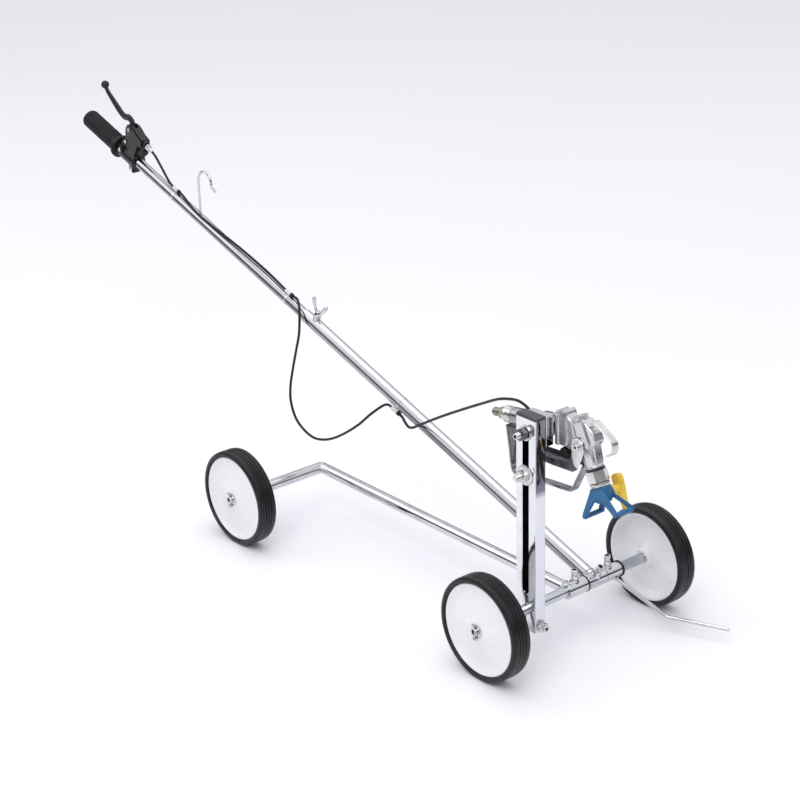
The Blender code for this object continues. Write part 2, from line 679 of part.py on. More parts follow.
def trigger():
    """Two cheeks beside the head, joined by the finger plate behind."""
    cheek = [(60, 357), (76, 357), (78, 341), (68, 315), (60, 309)]
    cheek += [(-46, 306), (-46, 314), (52, 320), (59, 340)]
    offset = HEAD_T / 2 + GAP + 1.2
    near = outline("trigger", cheek, 2.0, GUN_Y - offset, "dark_steel")
    far = outline("trigger_far_cheek", cheek, 2.0, GUN_Y + offset)
    plate = box("finger_plate", (-45, GUN_Y - offset, 306.5), (-18, GUN_Y + offset, 309.5))
    bridge = box("trigger_bridge", (30, GUN_Y - offset, 309.5), (44, GUN_Y + offset, 312.5))
    x, z = TRIGGER_PIVOT
    hole = rod("trigger_hole", at(x, GUN_Y - 30, z), at(x, GUN_Y + 30, z), 3.3, None, 16)
    cut(join(near, plate, bridge, far), hole)
    end = offset + 1.5
    pin = rod("trigger_pin", at(x, GUN_Y - end, z), at(x, GUN_Y + end, z), 3.0, "zinc_steel", 16)
    heads = []
    for side in (-1, 1):
        inner, outer = GUN_Y + side * (offset + 1.3), GUN_Y + side * (offset + 3.3)
        name = "pin_head_near" if side < 0 else "pin_head_far"
        heads.append(rod(name, at(x, inner, z), at(x, outer, z), 8.5, None, 16))
    join(pin, *heads)
    rod("trigger_stop", at(37, GUN_Y - 11.5, 330.2), at(37, GUN_Y + 11.5, 330.2), 7.5, "black_rubber", 16)


def tip_parts():
    pipe("nozzle_gasket", on_barrel(-15.1, 0), on_barrel(-13.6, 0), 14.2, 3.4, "black_rubber", 16)
    nut = [(14.0, 25.0), (15.8, 21.0), (15.8, 6.0), (13.0, 0.0), (3.4, 0.0), (3.4, 25.0)]
    turned("tip_nut", nut, on_barrel(12, 0), on_barrel(0, 0) - on_barrel(12, 0), "zinc_steel", 8, ring=True)
    body = rod("tip_guard", on_barrel(12.3, 0), on_barrel(35, 0), 12.5, "blue_guard")
    ears = []
    for side, name in ((-1, "rear_ear"), (1, "front_ear")):
        path = [(20, side * 8, -8), (50, side * 31, -16), (52, side * 32, -13), (52, side * 32, 13)]
        path += [(50, side * 31, 16), (20, side * 8, 8)]
        points = smooth(path, 5.0)
        ears.append(wire(name, [on_barrel(p.x, p.y, p.z) for p in points], 4.0))
    bore = rod("spray_bore", on_barrel(5, 0), on_barrel(60, 0), 4.0, None, 12)
    cross = rod("tip_bore", on_barrel(TIP_S, 0, -11.3), on_barrel(TIP_S, 0, 30), 6.6, None, 16)
    cut(join(body, *ears), bore, cross)


def spray_tip():
    """The reversible tip: a barrel across the guard, with an arrow-shaped handle on its end."""
    barrel = rod("spray_tip", on_barrel(TIP_S, 0, -11), on_barrel(TIP_S, 0, 32), 6.2, "yellow_tip", 16)
    collar = rod("tip_collar", on_barrel(TIP_S, 0, 13.2), on_barrel(TIP_S, 0, 18), 9.4, None, 16)
    arrow = [(3, -7), (7, -9.3), (20, -8.2), (60, -3), (60, 3), (20, 8.2), (7, 9.3), (3, 7)]
    handle = outline("tip_handle", [barrel_xz(s, q) for s, q in arrow], 8.0, GUN_Y + 34)
    orifice = rod("tip_orifice", on_barrel(5, 0), on_barrel(60, 0), 1.2, None, 8)
    cut(join(barrel, collar, handle), orifice)


def gun_mount():
    """The block that slides on the post and grips the gun, with its stud, nut and lower bolt."""
    half = POST_X / 2
    block = box("gun_slider", (-half, BLOCK_Y[0], BLOCK_Z[0]), (half, BLOCK_Y[1], BLOCK_Z[1]), "chrome")
    ring = rod("gun_clamp_ring", on_gun_grip(-10), on_gun_grip(10), 16.5)
    bore = rod("gun_clamp_bore", on_gun_grip(-40), on_gun_grip(40), GUN_GRIP_R + GAP)
    face = POST_Y - POST_T / 2 - GAP
    stud = rod("slider_stud", at(0, face - 20, STUD_Z), at(0, BLOCK_Y[0] + 3, STUD_Z), 5.0)
    cut(join(block, ring, stud), bore)
    hexagon = rod("stud_nut", at(0, face - 12.5, STUD_Z), at(0, face - 1.0, STUD_Z), 9.8, "zinc_steel", 6)
    flange = rod("stud_nut_flange", at(0, face - 2.0, STUD_Z), at(0, face, STUD_Z), 11.5)
    thread = rod("stud_nut_bore", at(0, face - 20, STUD_Z), at(0, face + 5, STUD_Z), 5.3)
    cut(join(hexagon, flange), thread)
    back = POST_Y + POST_T / 2 + GAP
    front, rear = at(0, face - 21, LOW_BOLT_Z), at(0, back + 9, LOW_BOLT_Z)
    low = rod("low_slide_bolt", front, rear, 5.0, "zinc_steel", 16)
    flange = rod("low_bolt_flange", at(0, face - 2, LOW_BOLT_Z), at(0, face, LOW_BOLT_Z), 15.5)
    head = rod("low_bolt_hex", at(0, face - 10.5, LOW_BOLT_Z), at(0, face - 1, LOW_BOLT_Z), 9.8, None, 6)
    join(low, flange, head)
    nut("low_slide_nut", at(0, back, LOW_BOLT_Z), at(0, back + 8, LOW_BOLT_Z), 10.5)


def cable_stop():
    """The barrel that ends the cable's casing, on an arm from the gun's clamp."""
    x, y, z = CABLE_STOP
    barrel = rod("cable_stop", at(x, y, z - 14), at(x, y, z - GAP), 4.0, "zinc_steel", 16)
    arm = outline("stop_arm", [(x, 334), (8, 343), (8, 352), (x, 341)], 2.4, -24.2)
    hole = rod("stop_bore", at(x, y, z - 20), at(x, y, z + 5), 1.2, None, 8)
    cut(join(barrel, arm), hole)


# ---- pointer and cable ----


def pointer():
    sleeve = rod("pointer", at(0, SLEEVE_3[0], WHEEL_R), at(0, SLEEVE_3[1], WHEEL_R), SLEEVE_R, "chrome")
    boss = lock_boss("pointer_boss", 77.0, 0.0)
    start, bend, end = [Vector(p) for p in POINTER_PATH]
    path = [start, start.lerp(bend, 0.93), bend.lerp(end, 0.015), bend.lerp(end, 0.09), end]
    needle = wire("pointer_rod", [at(*p) for p in path], POINTER_R)
    body = join(sleeve, boss, needle)
    cut(body, axle_bore("pointer_bore", SLEEVE_3), boss_hole("pointer_boss_hole", 77.0, 0.0))
    lock_bolt("pointer_lock_bolt", 77.0, 0.0)


def trimmed(points, start, end):
    """Pulls the ends of a run of points back by these distances."""
    points = list(points)
    points[0] = points[0] + (points[1] - points[0]).normalized() * start
    points[-1] = points[-1] + (points[-2] - points[-1]).normalized() * end
    return points


def cable(name, points, start_gap, end_gap):
    """A stretch of the cable, kept a gap short at the ends that meet a piece."""
    wire(name, [at(*p) for p in trimmed(points, start_gap, end_gap)], CABLE_R, "black_plastic")


def cart_mm(point):
    """A scene point back in millimetres from the front axle's foot."""
    return (point.x / MM - AXLE_X, point.y / MM, point.z / MM)


def cable_stretches():
    high = UPPER_R + GAP + GUIDE_R
    upper = [(1213.0, 43.1, 0), (1205, 41.5, 0), (1194, 36.8, 0), (1172, 25.9, 0)]
    upper += [(1157, 18.4, 0), (1147, high + 1.6, 0), (1138, high, 0), (1116, high, 0)]
    upper += [(1106, high, 0)]
    upper += [(1055, 11.6, -6.5), (1010, 12, -5.5), (930, 13.2, 0), (850, 13, 2.5)]
    upper += [(800, high, 0), (790, high, 0), (780, high, 0)]
    half = GAP / 2
    cable("cable_upper", smooth([cart_mm(on_handle(*p)) for p in upper], 9.0), GAP, half)
    side = LOWER_R + GAP + GUIDE_R
    dy, n = -side * math.sin(math.radians(45)), -side * math.cos(math.radians(45))
    guide_2 = [cart_mm(on_handle(t, high, 0)) for t in (780, 770, 764)]
    guide_3_in = [cart_mm(on_handle(t, n, dy)) for t in (480, 474, 464)]
    guide_3_out = [cart_mm(on_handle(t, n, dy)) for t in (464, 454, 448)]
    cable("cable_loop", smooth(guide_2 + CABLE_LOOP + guide_3_in, 9.0), half, half)
    run = smooth(guide_3_out + CABLE_RUN + [CABLE_STOP], 9.0)
    split = next(i for i, point in enumerate(run) if point.x > CABLE_SPLIT_X)
    cable("cable_run", run[: split + 1], half, half)
    cable("cable_drop", run[split:], half, 1.2)


def on_joint(name, place, *nodes):
    """Parents nodes to an empty on their joint's axis, and leaves them where they are."""
    empty = bpy.data.objects.new(name, None)
    PARTS.objects.link(empty)
    empty.location = place
    empty.empty_display_size = 0.03
    for node in nodes:
        child = bpy.data.objects[node]
        child.parent = empty
        child.matrix_parent_inverse = Matrix.Translation(-place)


def parent_to_joints():
    places = [("front_left", 0, HALF_TRACK), ("front_right", 0, -HALF_TRACK)]
    places += [("rear", -WHEELBASE, -HALF_TRACK)]
    for side, x, y in places:
        on_joint(f"axis_wheel_{side}", at(x, y, WHEEL_R), f"tyre_{side}", f"wheel_disc_{side}")
    lower = ["handle_lower_tube", "handle_lock_bolt", "cable_guide_low"]
    on_joint("axis_handle_tilt", at(0, HANDLE_Y, WHEEL_R), *lower)
    upper = ["handle_upper_tube", "handle_grip", "lever_perch", "lever_pin", "cable_adjuster"]
    upper += ["cable_guide_high", "cable_guide_middle", "hose_hook", "cable_upper", "cable_loop"]
    on_joint("axis_handle_length", on_handle(UPPER_START, 0), *upper)
    on_joint("axis_wing_bolt", on_handle(WING_T, 0), "wing_bolt")
    on_joint("axis_brake_lever", on_handle(*LEVER_PIVOT), "brake_lever")
    carriage = ["gun_slider", "stud_nut", "low_slide_bolt", "low_slide_nut", "cable_stop", "gun_head"]
    carriage += ["gun_grip", "grip_fitting", "paint_filter", "needle", "nozzle_gasket", "gun_hook"]
    carriage += ["trigger_guard", "trigger_stop", "trigger_pin", "cable_drop"]
    on_joint("axis_gun_height", at(0, POST_Y, STUD_Z), *carriage)
    on_joint("axis_trigger", at(TRIGGER_PIVOT[0], GUN_Y, TRIGGER_PIVOT[1]), "trigger")
    on_joint("axis_tip_guard", on_barrel(0, 0), "tip_nut", "tip_guard")
    on_joint("axis_spray_tip", on_barrel(TIP_S, 0), "spray_tip")
    on_joint("axis_hose_connector", on_gun_grip(-100), "hose_connector")
    on_joint("axis_pointer", at(0, sum(SLEEVE_3) / 2, WHEEL_R), "pointer", "pointer_lock_bolt")


def build():
    make_materials()
    bpy.context.scene.collection.children.link(PARTS)
    bpy.context.scene.collection.children.link(CUTTERS)
    CUTTERS.hide_render = True
    wheel("front_left", 0, HALF_TRACK)
    wheel("front_right", 0, -HALF_TRACK)
    wheel("rear", -WHEELBASE, -HALF_TRACK)
    front_axle()
    rear_frame()
    lock_bolt("frame_lock_bolt", 8.5, 0.0)
    axle_rings()
    post()
    post_cap()
    clamp_bolt()
    handle_lower()
    wing_bolt()
    handle_upper()
    hose_hook()
    brake_lever_group()
    cable_guide("cable_guide_high", GUIDE_1_T, UPPER_R + GAP + GUIDE_R, 0.0)
    cable_guide("cable_guide_middle", GUIDE_2_T, UPPER_R + GAP + GUIDE_R, 0.0)
    cable_guide("cable_guide_low", GUIDE_3_T, LOWER_R + GAP + GUIDE_R, math.radians(-135))
    gun_mount()
    gun_head()
    gun_grip()
    gun_outline_wire()
    trigger()
    tip_parts()
    spray_tip()
    cable_stop()
    pointer()
    cable_stretches()
    parent_to_joints()


for leftover in list(bpy.data.objects):
    bpy.data.objects.remove(leftover)
build()
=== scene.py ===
"""The looks of the line striping machine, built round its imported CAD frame.

Sizes are in millimetres and the scene is in metres, in the frame of the CAD: +X is forward, +Y left
and +Z up. Places are given from the point on the ground under the middle of the front axle.
"""

import math

import bmesh
import bpy
from mathutils import Matrix, Vector


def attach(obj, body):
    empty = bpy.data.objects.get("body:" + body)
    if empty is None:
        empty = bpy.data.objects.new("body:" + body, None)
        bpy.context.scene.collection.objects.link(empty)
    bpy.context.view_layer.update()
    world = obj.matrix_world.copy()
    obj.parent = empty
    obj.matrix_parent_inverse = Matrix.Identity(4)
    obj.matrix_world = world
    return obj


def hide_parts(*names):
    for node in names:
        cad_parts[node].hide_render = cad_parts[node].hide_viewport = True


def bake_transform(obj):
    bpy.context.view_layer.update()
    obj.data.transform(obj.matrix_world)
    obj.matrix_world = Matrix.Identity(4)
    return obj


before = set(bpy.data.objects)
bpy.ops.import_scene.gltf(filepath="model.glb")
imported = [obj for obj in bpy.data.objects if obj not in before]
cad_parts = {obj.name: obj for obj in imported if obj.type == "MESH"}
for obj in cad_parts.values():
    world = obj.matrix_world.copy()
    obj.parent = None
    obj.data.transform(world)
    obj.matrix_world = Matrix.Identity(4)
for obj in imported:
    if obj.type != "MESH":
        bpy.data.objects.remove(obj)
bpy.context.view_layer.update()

MM = 0.001
AXLE_X = 588.2

WHEEL_R, DISC_R, TYRE_W = 80.0, 71.0, 32.8
HALF_TRACK, WHEELBASE = 169.7, 599.5
AXLE_R, JOURNAL_R, AXLE_END = 8.0, 6.2, 192.0
AXLE_BORE_R, AXLE_BORE_DEPTH = 4.1, 14.0
SHOULDER_Y = HALF_TRACK - TYRE_W / 2 - 1.8
HUB_FACE = HALF_TRACK + TYRE_W / 2 + 0.7
COTTER_Y = HUB_FACE + 3.4
SLEEVE_R = 12.5
SLEEVE_1, SLEEVE_2, SLEEVE_3 = (-9.5, 28.0), (30.6, 68.4), (69.0, 99.5)
SPACER, STOP_RING = (28.3, 30.3), (99.8, 103.3)
FRAME_TUBE_R = 9.5
POST_Y, POST_X, POST_T, POST_WALL = -80.0, 41.4, 20.1, 2.0
POST_Z = (47.7, 381.7)
SLOT_W, SLOT_Z, SLIT_W = 13.0, (106.6, 368.0), 2.0
CLAMP_BOLT_Z = 57.0
HANDLE_Y, HANDLE_ANGLE = 48.3, math.radians(18.95)
FRAME_BOLT_Y, POINTER_BOLT_Y = 8.5, 77.0
LOWER_R, LOWER_BORE, LOWER_END = 11.25, 9.8, 731.0
UPPER_R, UPPER_START, UPPER_END = 9.5, 480.0, 1413.0
WING_T = 701.0
GRIP_START, GRIP_END, GRIP_R = 1306.0, 1419.0, 17.0
LEVER_PIVOT, LEVER_T = (1278.0, 55.0), 7.0
GUIDE_R, GUIDE_BORE, GUIDE_L = 3.6, 2.5, 20.0
CABLE_R = 2.2
WHEEL_STEPS = 160
GAP = 0.3
GUN_Y, NUT_X, NUT_Z = -42.0, 96.3, 307.5
BARREL_ANGLE, GRIP_SLOPE = math.radians(24.0), math.radians(8.5)
GRIP_AXIS_Z, GUN_GRIP_R = 361.0, 12.3
TIP_S = 23.0
BLOCK_Y, BLOCK_Z = (-69.6, -55.0), (338.0, 383.0)
STUD_Z, LOW_BOLT_Z = 359.8, 295.0
WHEELS = {
    "front_left": (0.0, HALF_TRACK),
    "front_right": (0.0, -HALF_TRACK),
    "rear": (-WHEELBASE, -HALF_TRACK),
}

# The route of the control cable, as part.py has it
CABLE_LOOP = [
    (-715.0, 49.0, 342.0), (-697.0, 40.0, 338.0), (-683.0, 30.0, 322.0), (-684.0, 28.0, 291.0),
    (-693.0, 28.0, 262.0), (-706.0, 28.0, 222.0), (-716.0, 28.0, 184.0), (-716.0, 28.0, 154.0),
    (-700.0, 28.0, 125.0), (-663.0, 28.0, 109.0), (-626.0, 28.0, 114.0), (-584.0, 28.0, 134.0),
    (-535.0, 29.0, 168.0), (-503.0, 32.0, 197.0), (-480.0, 35.0, 216.0), (-468.0, 37.0, 224.0),
]
CABLE_RUN = [
    (-414.0, 37.0, 204.0), (-398.0, 34.0, 206.0), (-370.0, 30.0, 222.0), (-320.0, 25.0, 251.0),
    (-260.0, 16.0, 284.0), (-200.0, 4.0, 316.0), (-146.0, -10.0, 344.0), (-112.0, -18.0, 357.0),
    (-86.0, -23.5, 363.5), (-68.0, -25.0, 361.0), (-56.0, -25.0, 354.5),
]
CABLE_SPLIT_X = -260.0
CABLE_STOP = (-50.0, -22.8, 346.0)
ROUTE_SPACING = 9.0

SHARP_ANGLE = math.radians(32.0)


# ---- places ----


def at(x, y, z):
    return Vector((x + AXLE_X, y, z)) * MM


def on_handle(t, n=0.0, dy=0.0):
    """t runs up the handle from the axle, n stands off it and dy is sideways."""
    cos, sin = math.cos(HANDLE_ANGLE), math.sin(HANDLE_ANGLE)
    return at(-t * cos + n * sin, HANDLE_Y + dy, WHEEL_R + t * sin + n * cos)


def barrel_xz(s, q):
    """s runs down the gun's barrel and q stands forward of it, from the middle of the tip nut."""
    cos, sin = math.cos(BARREL_ANGLE), math.sin(BARREL_ANGLE)
    return NUT_X + s * sin + q * cos, NUT_Z - s * cos + q * sin


def on_barrel(s, q=0.0, dy=0.0):
    x, z = barrel_xz(s, q)
    return at(x, GUN_Y + dy, z)


def on_gun_grip(u):
    """u runs forward along the gun's grip from the post's middle."""
    return at(u * math.cos(GRIP_SLOPE), GUN_Y, GRIP_AXIS_Z + u * math.sin(GRIP_SLOPE))


def at_axle(y, x=0.0):
    return at(x, y, WHEEL_R)


def from_axle(y, distance, lean):
    return at(distance * math.sin(lean), y, WHEEL_R + distance * math.cos(lean))


def cart_mm(point):
    """A scene point back in millimetres."""
    return (point.x / MM - AXLE_X, point.y / MM, point.z / MM)


def smooth(points, spacing):
    """Points at an even spacing on a Catmull-Rom curve through the given ones."""
    knots = [Vector(p) for p in points]
    knots = [2 * knots[0] - knots[1]] + knots + [2 * knots[-1] - knots[-2]]
    dense = []
    for a, b, c, d in zip(knots, knots[1:], knots[2:], knots[3:]):
        for i in range(20):
            u = i / 20
            square = (2 * a - 5 * b + 4 * c - d) * u**2
            dense.append(0.5 * (2 * b + (c - a) * u + square + (3 * b - a - 3 * c + d) * u**3))
    dense.append(knots[-2])
    travelled = [0.0]
    for a, b in zip(dense, dense[1:]):
        travelled.append(travelled[-1] + (b - a).length)
    count = max(2, round(travelled[-1] / spacing))
    even, k = [], 0
    for i in range(count + 1):
        goal = travelled[-1] * i / count
        while k < len(dense) - 2 and travelled[k + 1] < goal:
            k += 1
        share = (goal - travelled[k]) / (travelled[k + 1] - travelled[k])
        even.append(dense[k].lerp(dense[k + 1], share))
    return even


# ---- camera, floor and light ----


def camera():
    """Looks at the machine from the near front corner and above."""
    azimuth, height, roll = math.radians(50.6378), math.radians(22.4966), math.radians(-1.518)
    level = math.cos(height)
    back = Vector((math.sin(azimuth) * level, -math.cos(azimuth) * level, math.sin(height)))
    right = (-back).cross(Vector((0, 0, 1))).normalized()
    up = right.cross(-back)
    x = math.cos(roll) * right + math.sin(roll) * up
    y = -math.sin(roll) * right + math.cos(roll) * up
    data = bpy.data.cameras.new("camera")
    data.lens, data.sensor_width = 90.876, 36.0
    data.clip_start, data.clip_end = 0.1, 60.0
    cam = bpy.data.objects.new("camera", data)
    bpy.context.scene.collection.objects.link(cam)
    matrix = Matrix((x, y, back)).transposed().to_4x4()
    matrix.translation = at(1896.46, -1871.79, 1490.03)
    cam.matrix_world = matrix
    bpy.context.scene.camera = cam


camera()


def area_light(name, place, target, size, power, colour=(1.0, 1.0, 1.0)):
    data = bpy.data.lights.new(name, "AREA")
    data.energy, data.color = power, colour
    data.shape = "RECTANGLE"
    data.size, data.size_y = size, size
    obj = bpy.data.objects.new(name, data)
    bpy.context.scene.collection.objects.link(obj)
    place, target = Vector(place), Vector(target)
    turn = (target - place).to_track_quat("-Z", "Y").to_matrix().to_4x4()
    obj.matrix_world = Matrix.Translation(place) @ turn


def pale_floor():
    bm = bmesh.new()
    bmesh.ops.create_grid(bm, x_segments=1, y_segments=1, size=14.0)
    mesh = bpy.data.meshes.new("floor")
    bm.to_mesh(mesh)
    bm.free()
    floor = bpy.data.objects.new("floor", mesh)
    bpy.context.scene.collection.objects.link(floor)
    floor.data.materials.append(floor_material())


def studio():
    """Soft light over a room that is dark low down, which draws the lines along the chrome."""
    pale_floor()
    area_light("key_light", (1.6, -2.4, 3.4), (0.2, 0.0, 0.2), 2.4, 46.0, (1.0, 0.99, 0.98))
    area_light("fill_light", (-2.6, -1.6, 2.6), (0.0, 0.0, 0.2), 2.2, 16.0, (0.96, 0.97, 1.0))
    area_light("top_light", (0.0, 0.6, 3.8), (0.0, 0.0, 0.0), 3.0, 22.0)
    world = bpy.data.worlds.new("studio")
    bpy.context.scene.world = world
    world.use_nodes = True
    tree = world.node_tree
    tree.nodes.clear()
    kinds = ("TexCoord", "SeparateXYZ", "MapRange", "ValToRGB", "Background", "OutputWorld")
    coord, split, remap, ramp, background, output = (tree.nodes.new("ShaderNode" + kind) for kind in kinds)
    remap.inputs["From Min"].default_value = -1.0
    tree.links.new(coord.outputs["Generated"], split.inputs[0])
    tree.links.new(split.outputs["Z"], remap.inputs["Value"])
    for source, target in ((remap, ramp), (ramp, background), (background, output)):
        tree.links.new(source.outputs[0], target.inputs[0])
    colour_ramp(ramp, [(0.50, (0.03, 0.03, 0.04)), (0.60, (0.08, 0.08, 0.10)), (0.66, (0.60, 0.61, 0.64)),
                       (0.74, (1.02, 1.03, 1.07)), (1.0, (1.05, 1.05, 1.08))])
    background.inputs[1].default_value = 0.92


def colour_ramp(node, stops):
    elements = node.color_ramp.elements
    while len(elements) > len(stops):
        elements.remove(elements[-1])
    while len(elements) < len(stops):
        elements.new(1.0)
    for element, (position, colour) in zip(elements, stops):
        element.position = position
        element.color = (*colour, 1.0)


# ---- materials ----


class Look:
    """A Principled material and short ways to feed its sockets from procedural nodes."""

    def __init__(self, name):
        self.mat = bpy.data.materials.new(name)
        self.mat.use_nodes = True
        self.tree = self.mat.node_tree
        self.shader = self.tree.nodes["Principled BSDF"]
        coord = self.node("ShaderNodeTexCoord")
        self.coord, self.normal = coord.outputs["Object"], coord.outputs["Normal"]

    def node(self, kind, **settings):
        made = self.tree.nodes.new(kind)
        for key, value in settings.items():
            setattr(made, key, value)
        return made

    def link(self, source, target):
        self.tree.links.new(source, target)

    def set(self, **values):
        for key, value in values.items():
            socket = self.shader.inputs[key.replace("_", " ")]
            socket.default_value = (*value, 1.0) if isinstance(value, tuple) else value
        return self

    def noise(self, scale, detail):
        noise = self.node("ShaderNodeTexNoise")
        noise.inputs["Scale"].default_value = scale
        noise.inputs["Detail"].default_value = detail
        self.link(self.coord, noise.inputs["Vector"])
        return noise.outputs["Fac"]

    def cells(self, scale):
        cells = self.node("ShaderNodeTexVoronoi")
        cells.inputs["Scale"].default_value = scale
        self.link(self.coord, cells.inputs["Vector"])
        return cells.outputs["Distance"]

    def ramp(self, source, stops):
        ramp = self.node("ShaderNodeValToRGB")
        colour_ramp(ramp, stops)
        self.link(source, ramp.inputs[0])
        return ramp.outputs[0]

    def clouds(self, scale, detail, dark, bright):
        """A soft mottle between two tones."""
        return self.ramp(self.noise(scale, detail), [(0.35, dark), (0.65, bright)])

    def remap(self, source, limits):
        """Spreads the stretch between the first two values over the last two."""
        remap = self.node("ShaderNodeMapRange")
        for name, value in zip(("From Min", "From Max", "To Min", "To Max"), limits):
            remap.inputs[name].default_value = value
        self.link(source, remap.inputs["Value"])
        return remap.outputs[0]

    def axis(self, vector, letter):
        split = self.node("ShaderNodeSeparateXYZ")
        self.link(vector, split.inputs[0])
        return split.outputs[letter]

    def mix(self, mask, first, second):
        """Feeds the base colour from two colours. The node's sockets share names, so they go by number."""
        mix = self.node("ShaderNodeMix", data_type="RGBA")
        for source, number in ((mask, 0), (first, 6), (second, 7)):
            self.link(source, mix.inputs[number])
        self.base(mix.outputs[2])

    def tone(self, colour):
        node = self.node("ShaderNodeRGB")
        node.outputs[0].default_value = (*colour, 1.0)
        return node.outputs[0]

    def base(self, source):
        self.link(source, self.shader.inputs["Base Color"])

    def rough(self, scale, detail, low, high):
        spread = self.remap(self.noise(scale, detail), (0.3, 0.7, low, high))
        self.link(spread, self.shader.inputs["Roughness"])

    def bump(self, source, strength, distance):
        """Adds a bump under whatever bump the material has so far."""
        bump = self.node("ShaderNodeBump")
        bump.inputs["Strength"].default_value = strength
        bump.inputs["Distance"].default_value = distance * MM
        socket = self.shader.inputs["Normal"]
        if socket.is_linked:
            self.link(socket.links[0].from_socket, bump.inputs["Normal"])
        self.link(source, bump.inputs["Height"])
        self.link(bump.outputs[0], socket)


def floor_material():
    look = Look("floor").set(Roughness=0.45, Specular_IOR_Level=0.25)
    look.base(look.clouds(1.2, 2.0, (0.90, 0.90, 0.935), (0.91, 0.91, 0.945)))
    return look.mat


def metal(name, dark, bright, rough, bump=0.0, scale=40.0, speckle=0.0):
    look = Look(name).set(Metallic=1.0)
    look.base(look.clouds(scale, 4.0, dark, bright))
    look.rough(scale * 6, 5.0, *rough)
    if bump:
        look.bump(look.noise(scale * 30, 4.0), bump, 0.2)
    if speckle:
        look.bump(look.cells(900.0), speckle, 0.25)
    return look.mat


def coated(name, dark, bright, rough, bump, bump_scale, distance=0.15, scale=30.0, coat=0.0):
    look = Look(name).set(Coat_Weight=coat, Specular_IOR_Level=0.32)
    look.base(look.clouds(scale, 4.0, dark, bright))
    look.rough(scale * 3, 4.0, *rough)
    look.bump(look.noise(bump_scale, 3.0), bump, distance)
    return look.mat


def chrome_with_painted_reflection(name, stops, low, high):
    """Plate whose front (+X) face has painted reflection: bands of tone by height, as a mirror that looks down a
    dark room shows.
    """
    look = Look(name).set(Metallic=1.0)
    # painted reflection: the +X face's colour follows height through the given stops
    height = look.remap(look.axis(look.coord, "Z"), (low * MM, high * MM))
    facing = look.ramp(look.axis(look.normal, "X"), [(0.45, (0, 0, 0)), (0.90, (1, 1, 1))])
    look.mix(facing, look.clouds(40.0, 4.0, (0.72, 0.72, 0.74), (0.80, 0.80, 0.82)), look.ramp(height, stops))
    look.rough(240.0, 5.0, 0.05, 0.12)
    return look.mat


def tube_chrome_with_painted_reflection(name, stops):
    """Plate for a long tube with painted reflection: its tone follows how far round the tube's side a point lies.
    """
    look = Look(name).set(Metallic=1.0)
    around = look.remap(look.axis(look.normal, "Z"), (-1.0,))
    worn = look.clouds(60.0, 4.0, (0, 0, 0), (0.22, 0.22, 0.22))
    # the painted reflection bands are pulled a little, at random, towards a flat grey
    look.mix(worn, look.ramp(around, stops), look.tone((0.60, 0.60, 0.62)))
    look.rough(240.0, 5.0, 0.05, 0.12)
    return look.mat


CHROME = metal("chrome_plate", (0.56, 0.56, 0.585), (0.66, 0.66, 0.68), (0.04, 0.10))
SATIN = metal("satin_axle", (0.50, 0.51, 0.54), (0.62, 0.63, 0.66), (0.12, 0.24), 0.03)
ZINC = metal("zinc_plate", (0.55, 0.55, 0.54), (0.74, 0.74, 0.73), (0.14, 0.30), 0.04, 60.0)
CAST = metal("cast_alloy", (0.60, 0.59, 0.59), (0.74, 0.73, 0.73), (0.22, 0.36), 0.05, 45.0, 0.04)
STRAP = metal("dull_strap", (0.28, 0.27, 0.28), (0.46, 0.45, 0.46), (0.18, 0.36), 0.08, 60.0)
TAIL = metal("dark_strap", (0.12, 0.11, 0.115), (0.20, 0.19, 0.19), (0.30, 0.45), 0.08, 60.0)
DARK = metal("dark_steel", (0.10, 0.10, 0.11), (0.17, 0.17, 0.18), (0.22, 0.40), 0.08, 60.0)
NICKEL = metal("nickel_brass", (0.24, 0.22, 0.18), (0.46, 0.43, 0.36), (0.16, 0.32), 0.06, 60.0)
WHITE = coated("white_disc", (0.86, 0.865, 0.88), (0.90, 0.905, 0.92), (0.20, 0.30), 0.02, 120.0, 0.1,
               9.0, 0.1)
TYRE = coated("tyre_rubber", (0.0045, 0.0045, 0.006), (0.012, 0.012, 0.014), (0.26, 0.42), 0.20, 900.0)
RUBBER = coated("soft_rubber", (0.006, 0.006, 0.007), (0.014, 0.014, 0.015), (0.46, 0.64), 0.25, 1200.0)
PLASTIC = coated("black_plastic", (0.004, 0.004, 0.005), (0.010, 0.010, 0.011), (0.30, 0.45), 0.12, 1500.0)
SLEEVE = coated("clear_sleeve", (0.62, 0.62, 0.65), (0.76, 0.76, 0.79), (0.22, 0.34), 0.05, 900.0)
CAP = coated("cap_plastic", (0.075, 0.070, 0.082), (0.105, 0.100, 0.112), (0.45, 0.60), 0.15, 1500.0)
LEVER = coated("lever_coat", (0.005, 0.005, 0.006), (0.012, 0.012, 0.014), (0.24, 0.38), 0.10, 1000.0,
               coat=0.1)
# Near-black fill that paints the shade inside holes, sockets, bores and gaps.
PAINTED_SHADE = coated("painted_shade_dark", (0.004, 0.004, 0.004), (0.008, 0.008, 0.008), (0.7, 0.9), 0.1, 600.0)
BLUE = coated("blue_guard", (0.022, 0.115, 0.255), (0.034, 0.150, 0.320), (0.34, 0.48), 0.10, 900.0)
YELLOW = coated("yellow_tip", (0.80, 0.53, 0.06), (0.90, 0.64, 0.10), (0.36, 0.50), 0.10, 900.0)
# Painted reflection on the post's front face: light low down, a dark band about two thirds up, mid grey at the top.
POST_CHROME = chrome_with_painted_reflection("post_chrome", [
    (0.0, (0.70, 0.70, 0.76)), (0.64, (0.74, 0.74, 0.79)), (0.675, (0.20, 0.20, 0.26)),
    (0.74, (0.13, 0.125, 0.14)), (0.86, (0.12, 0.11, 0.125)), (0.90, (0.28, 0.26, 0.28)),
    (1.0, (0.36, 0.34, 0.36))], POST_Z[0], 382.0)
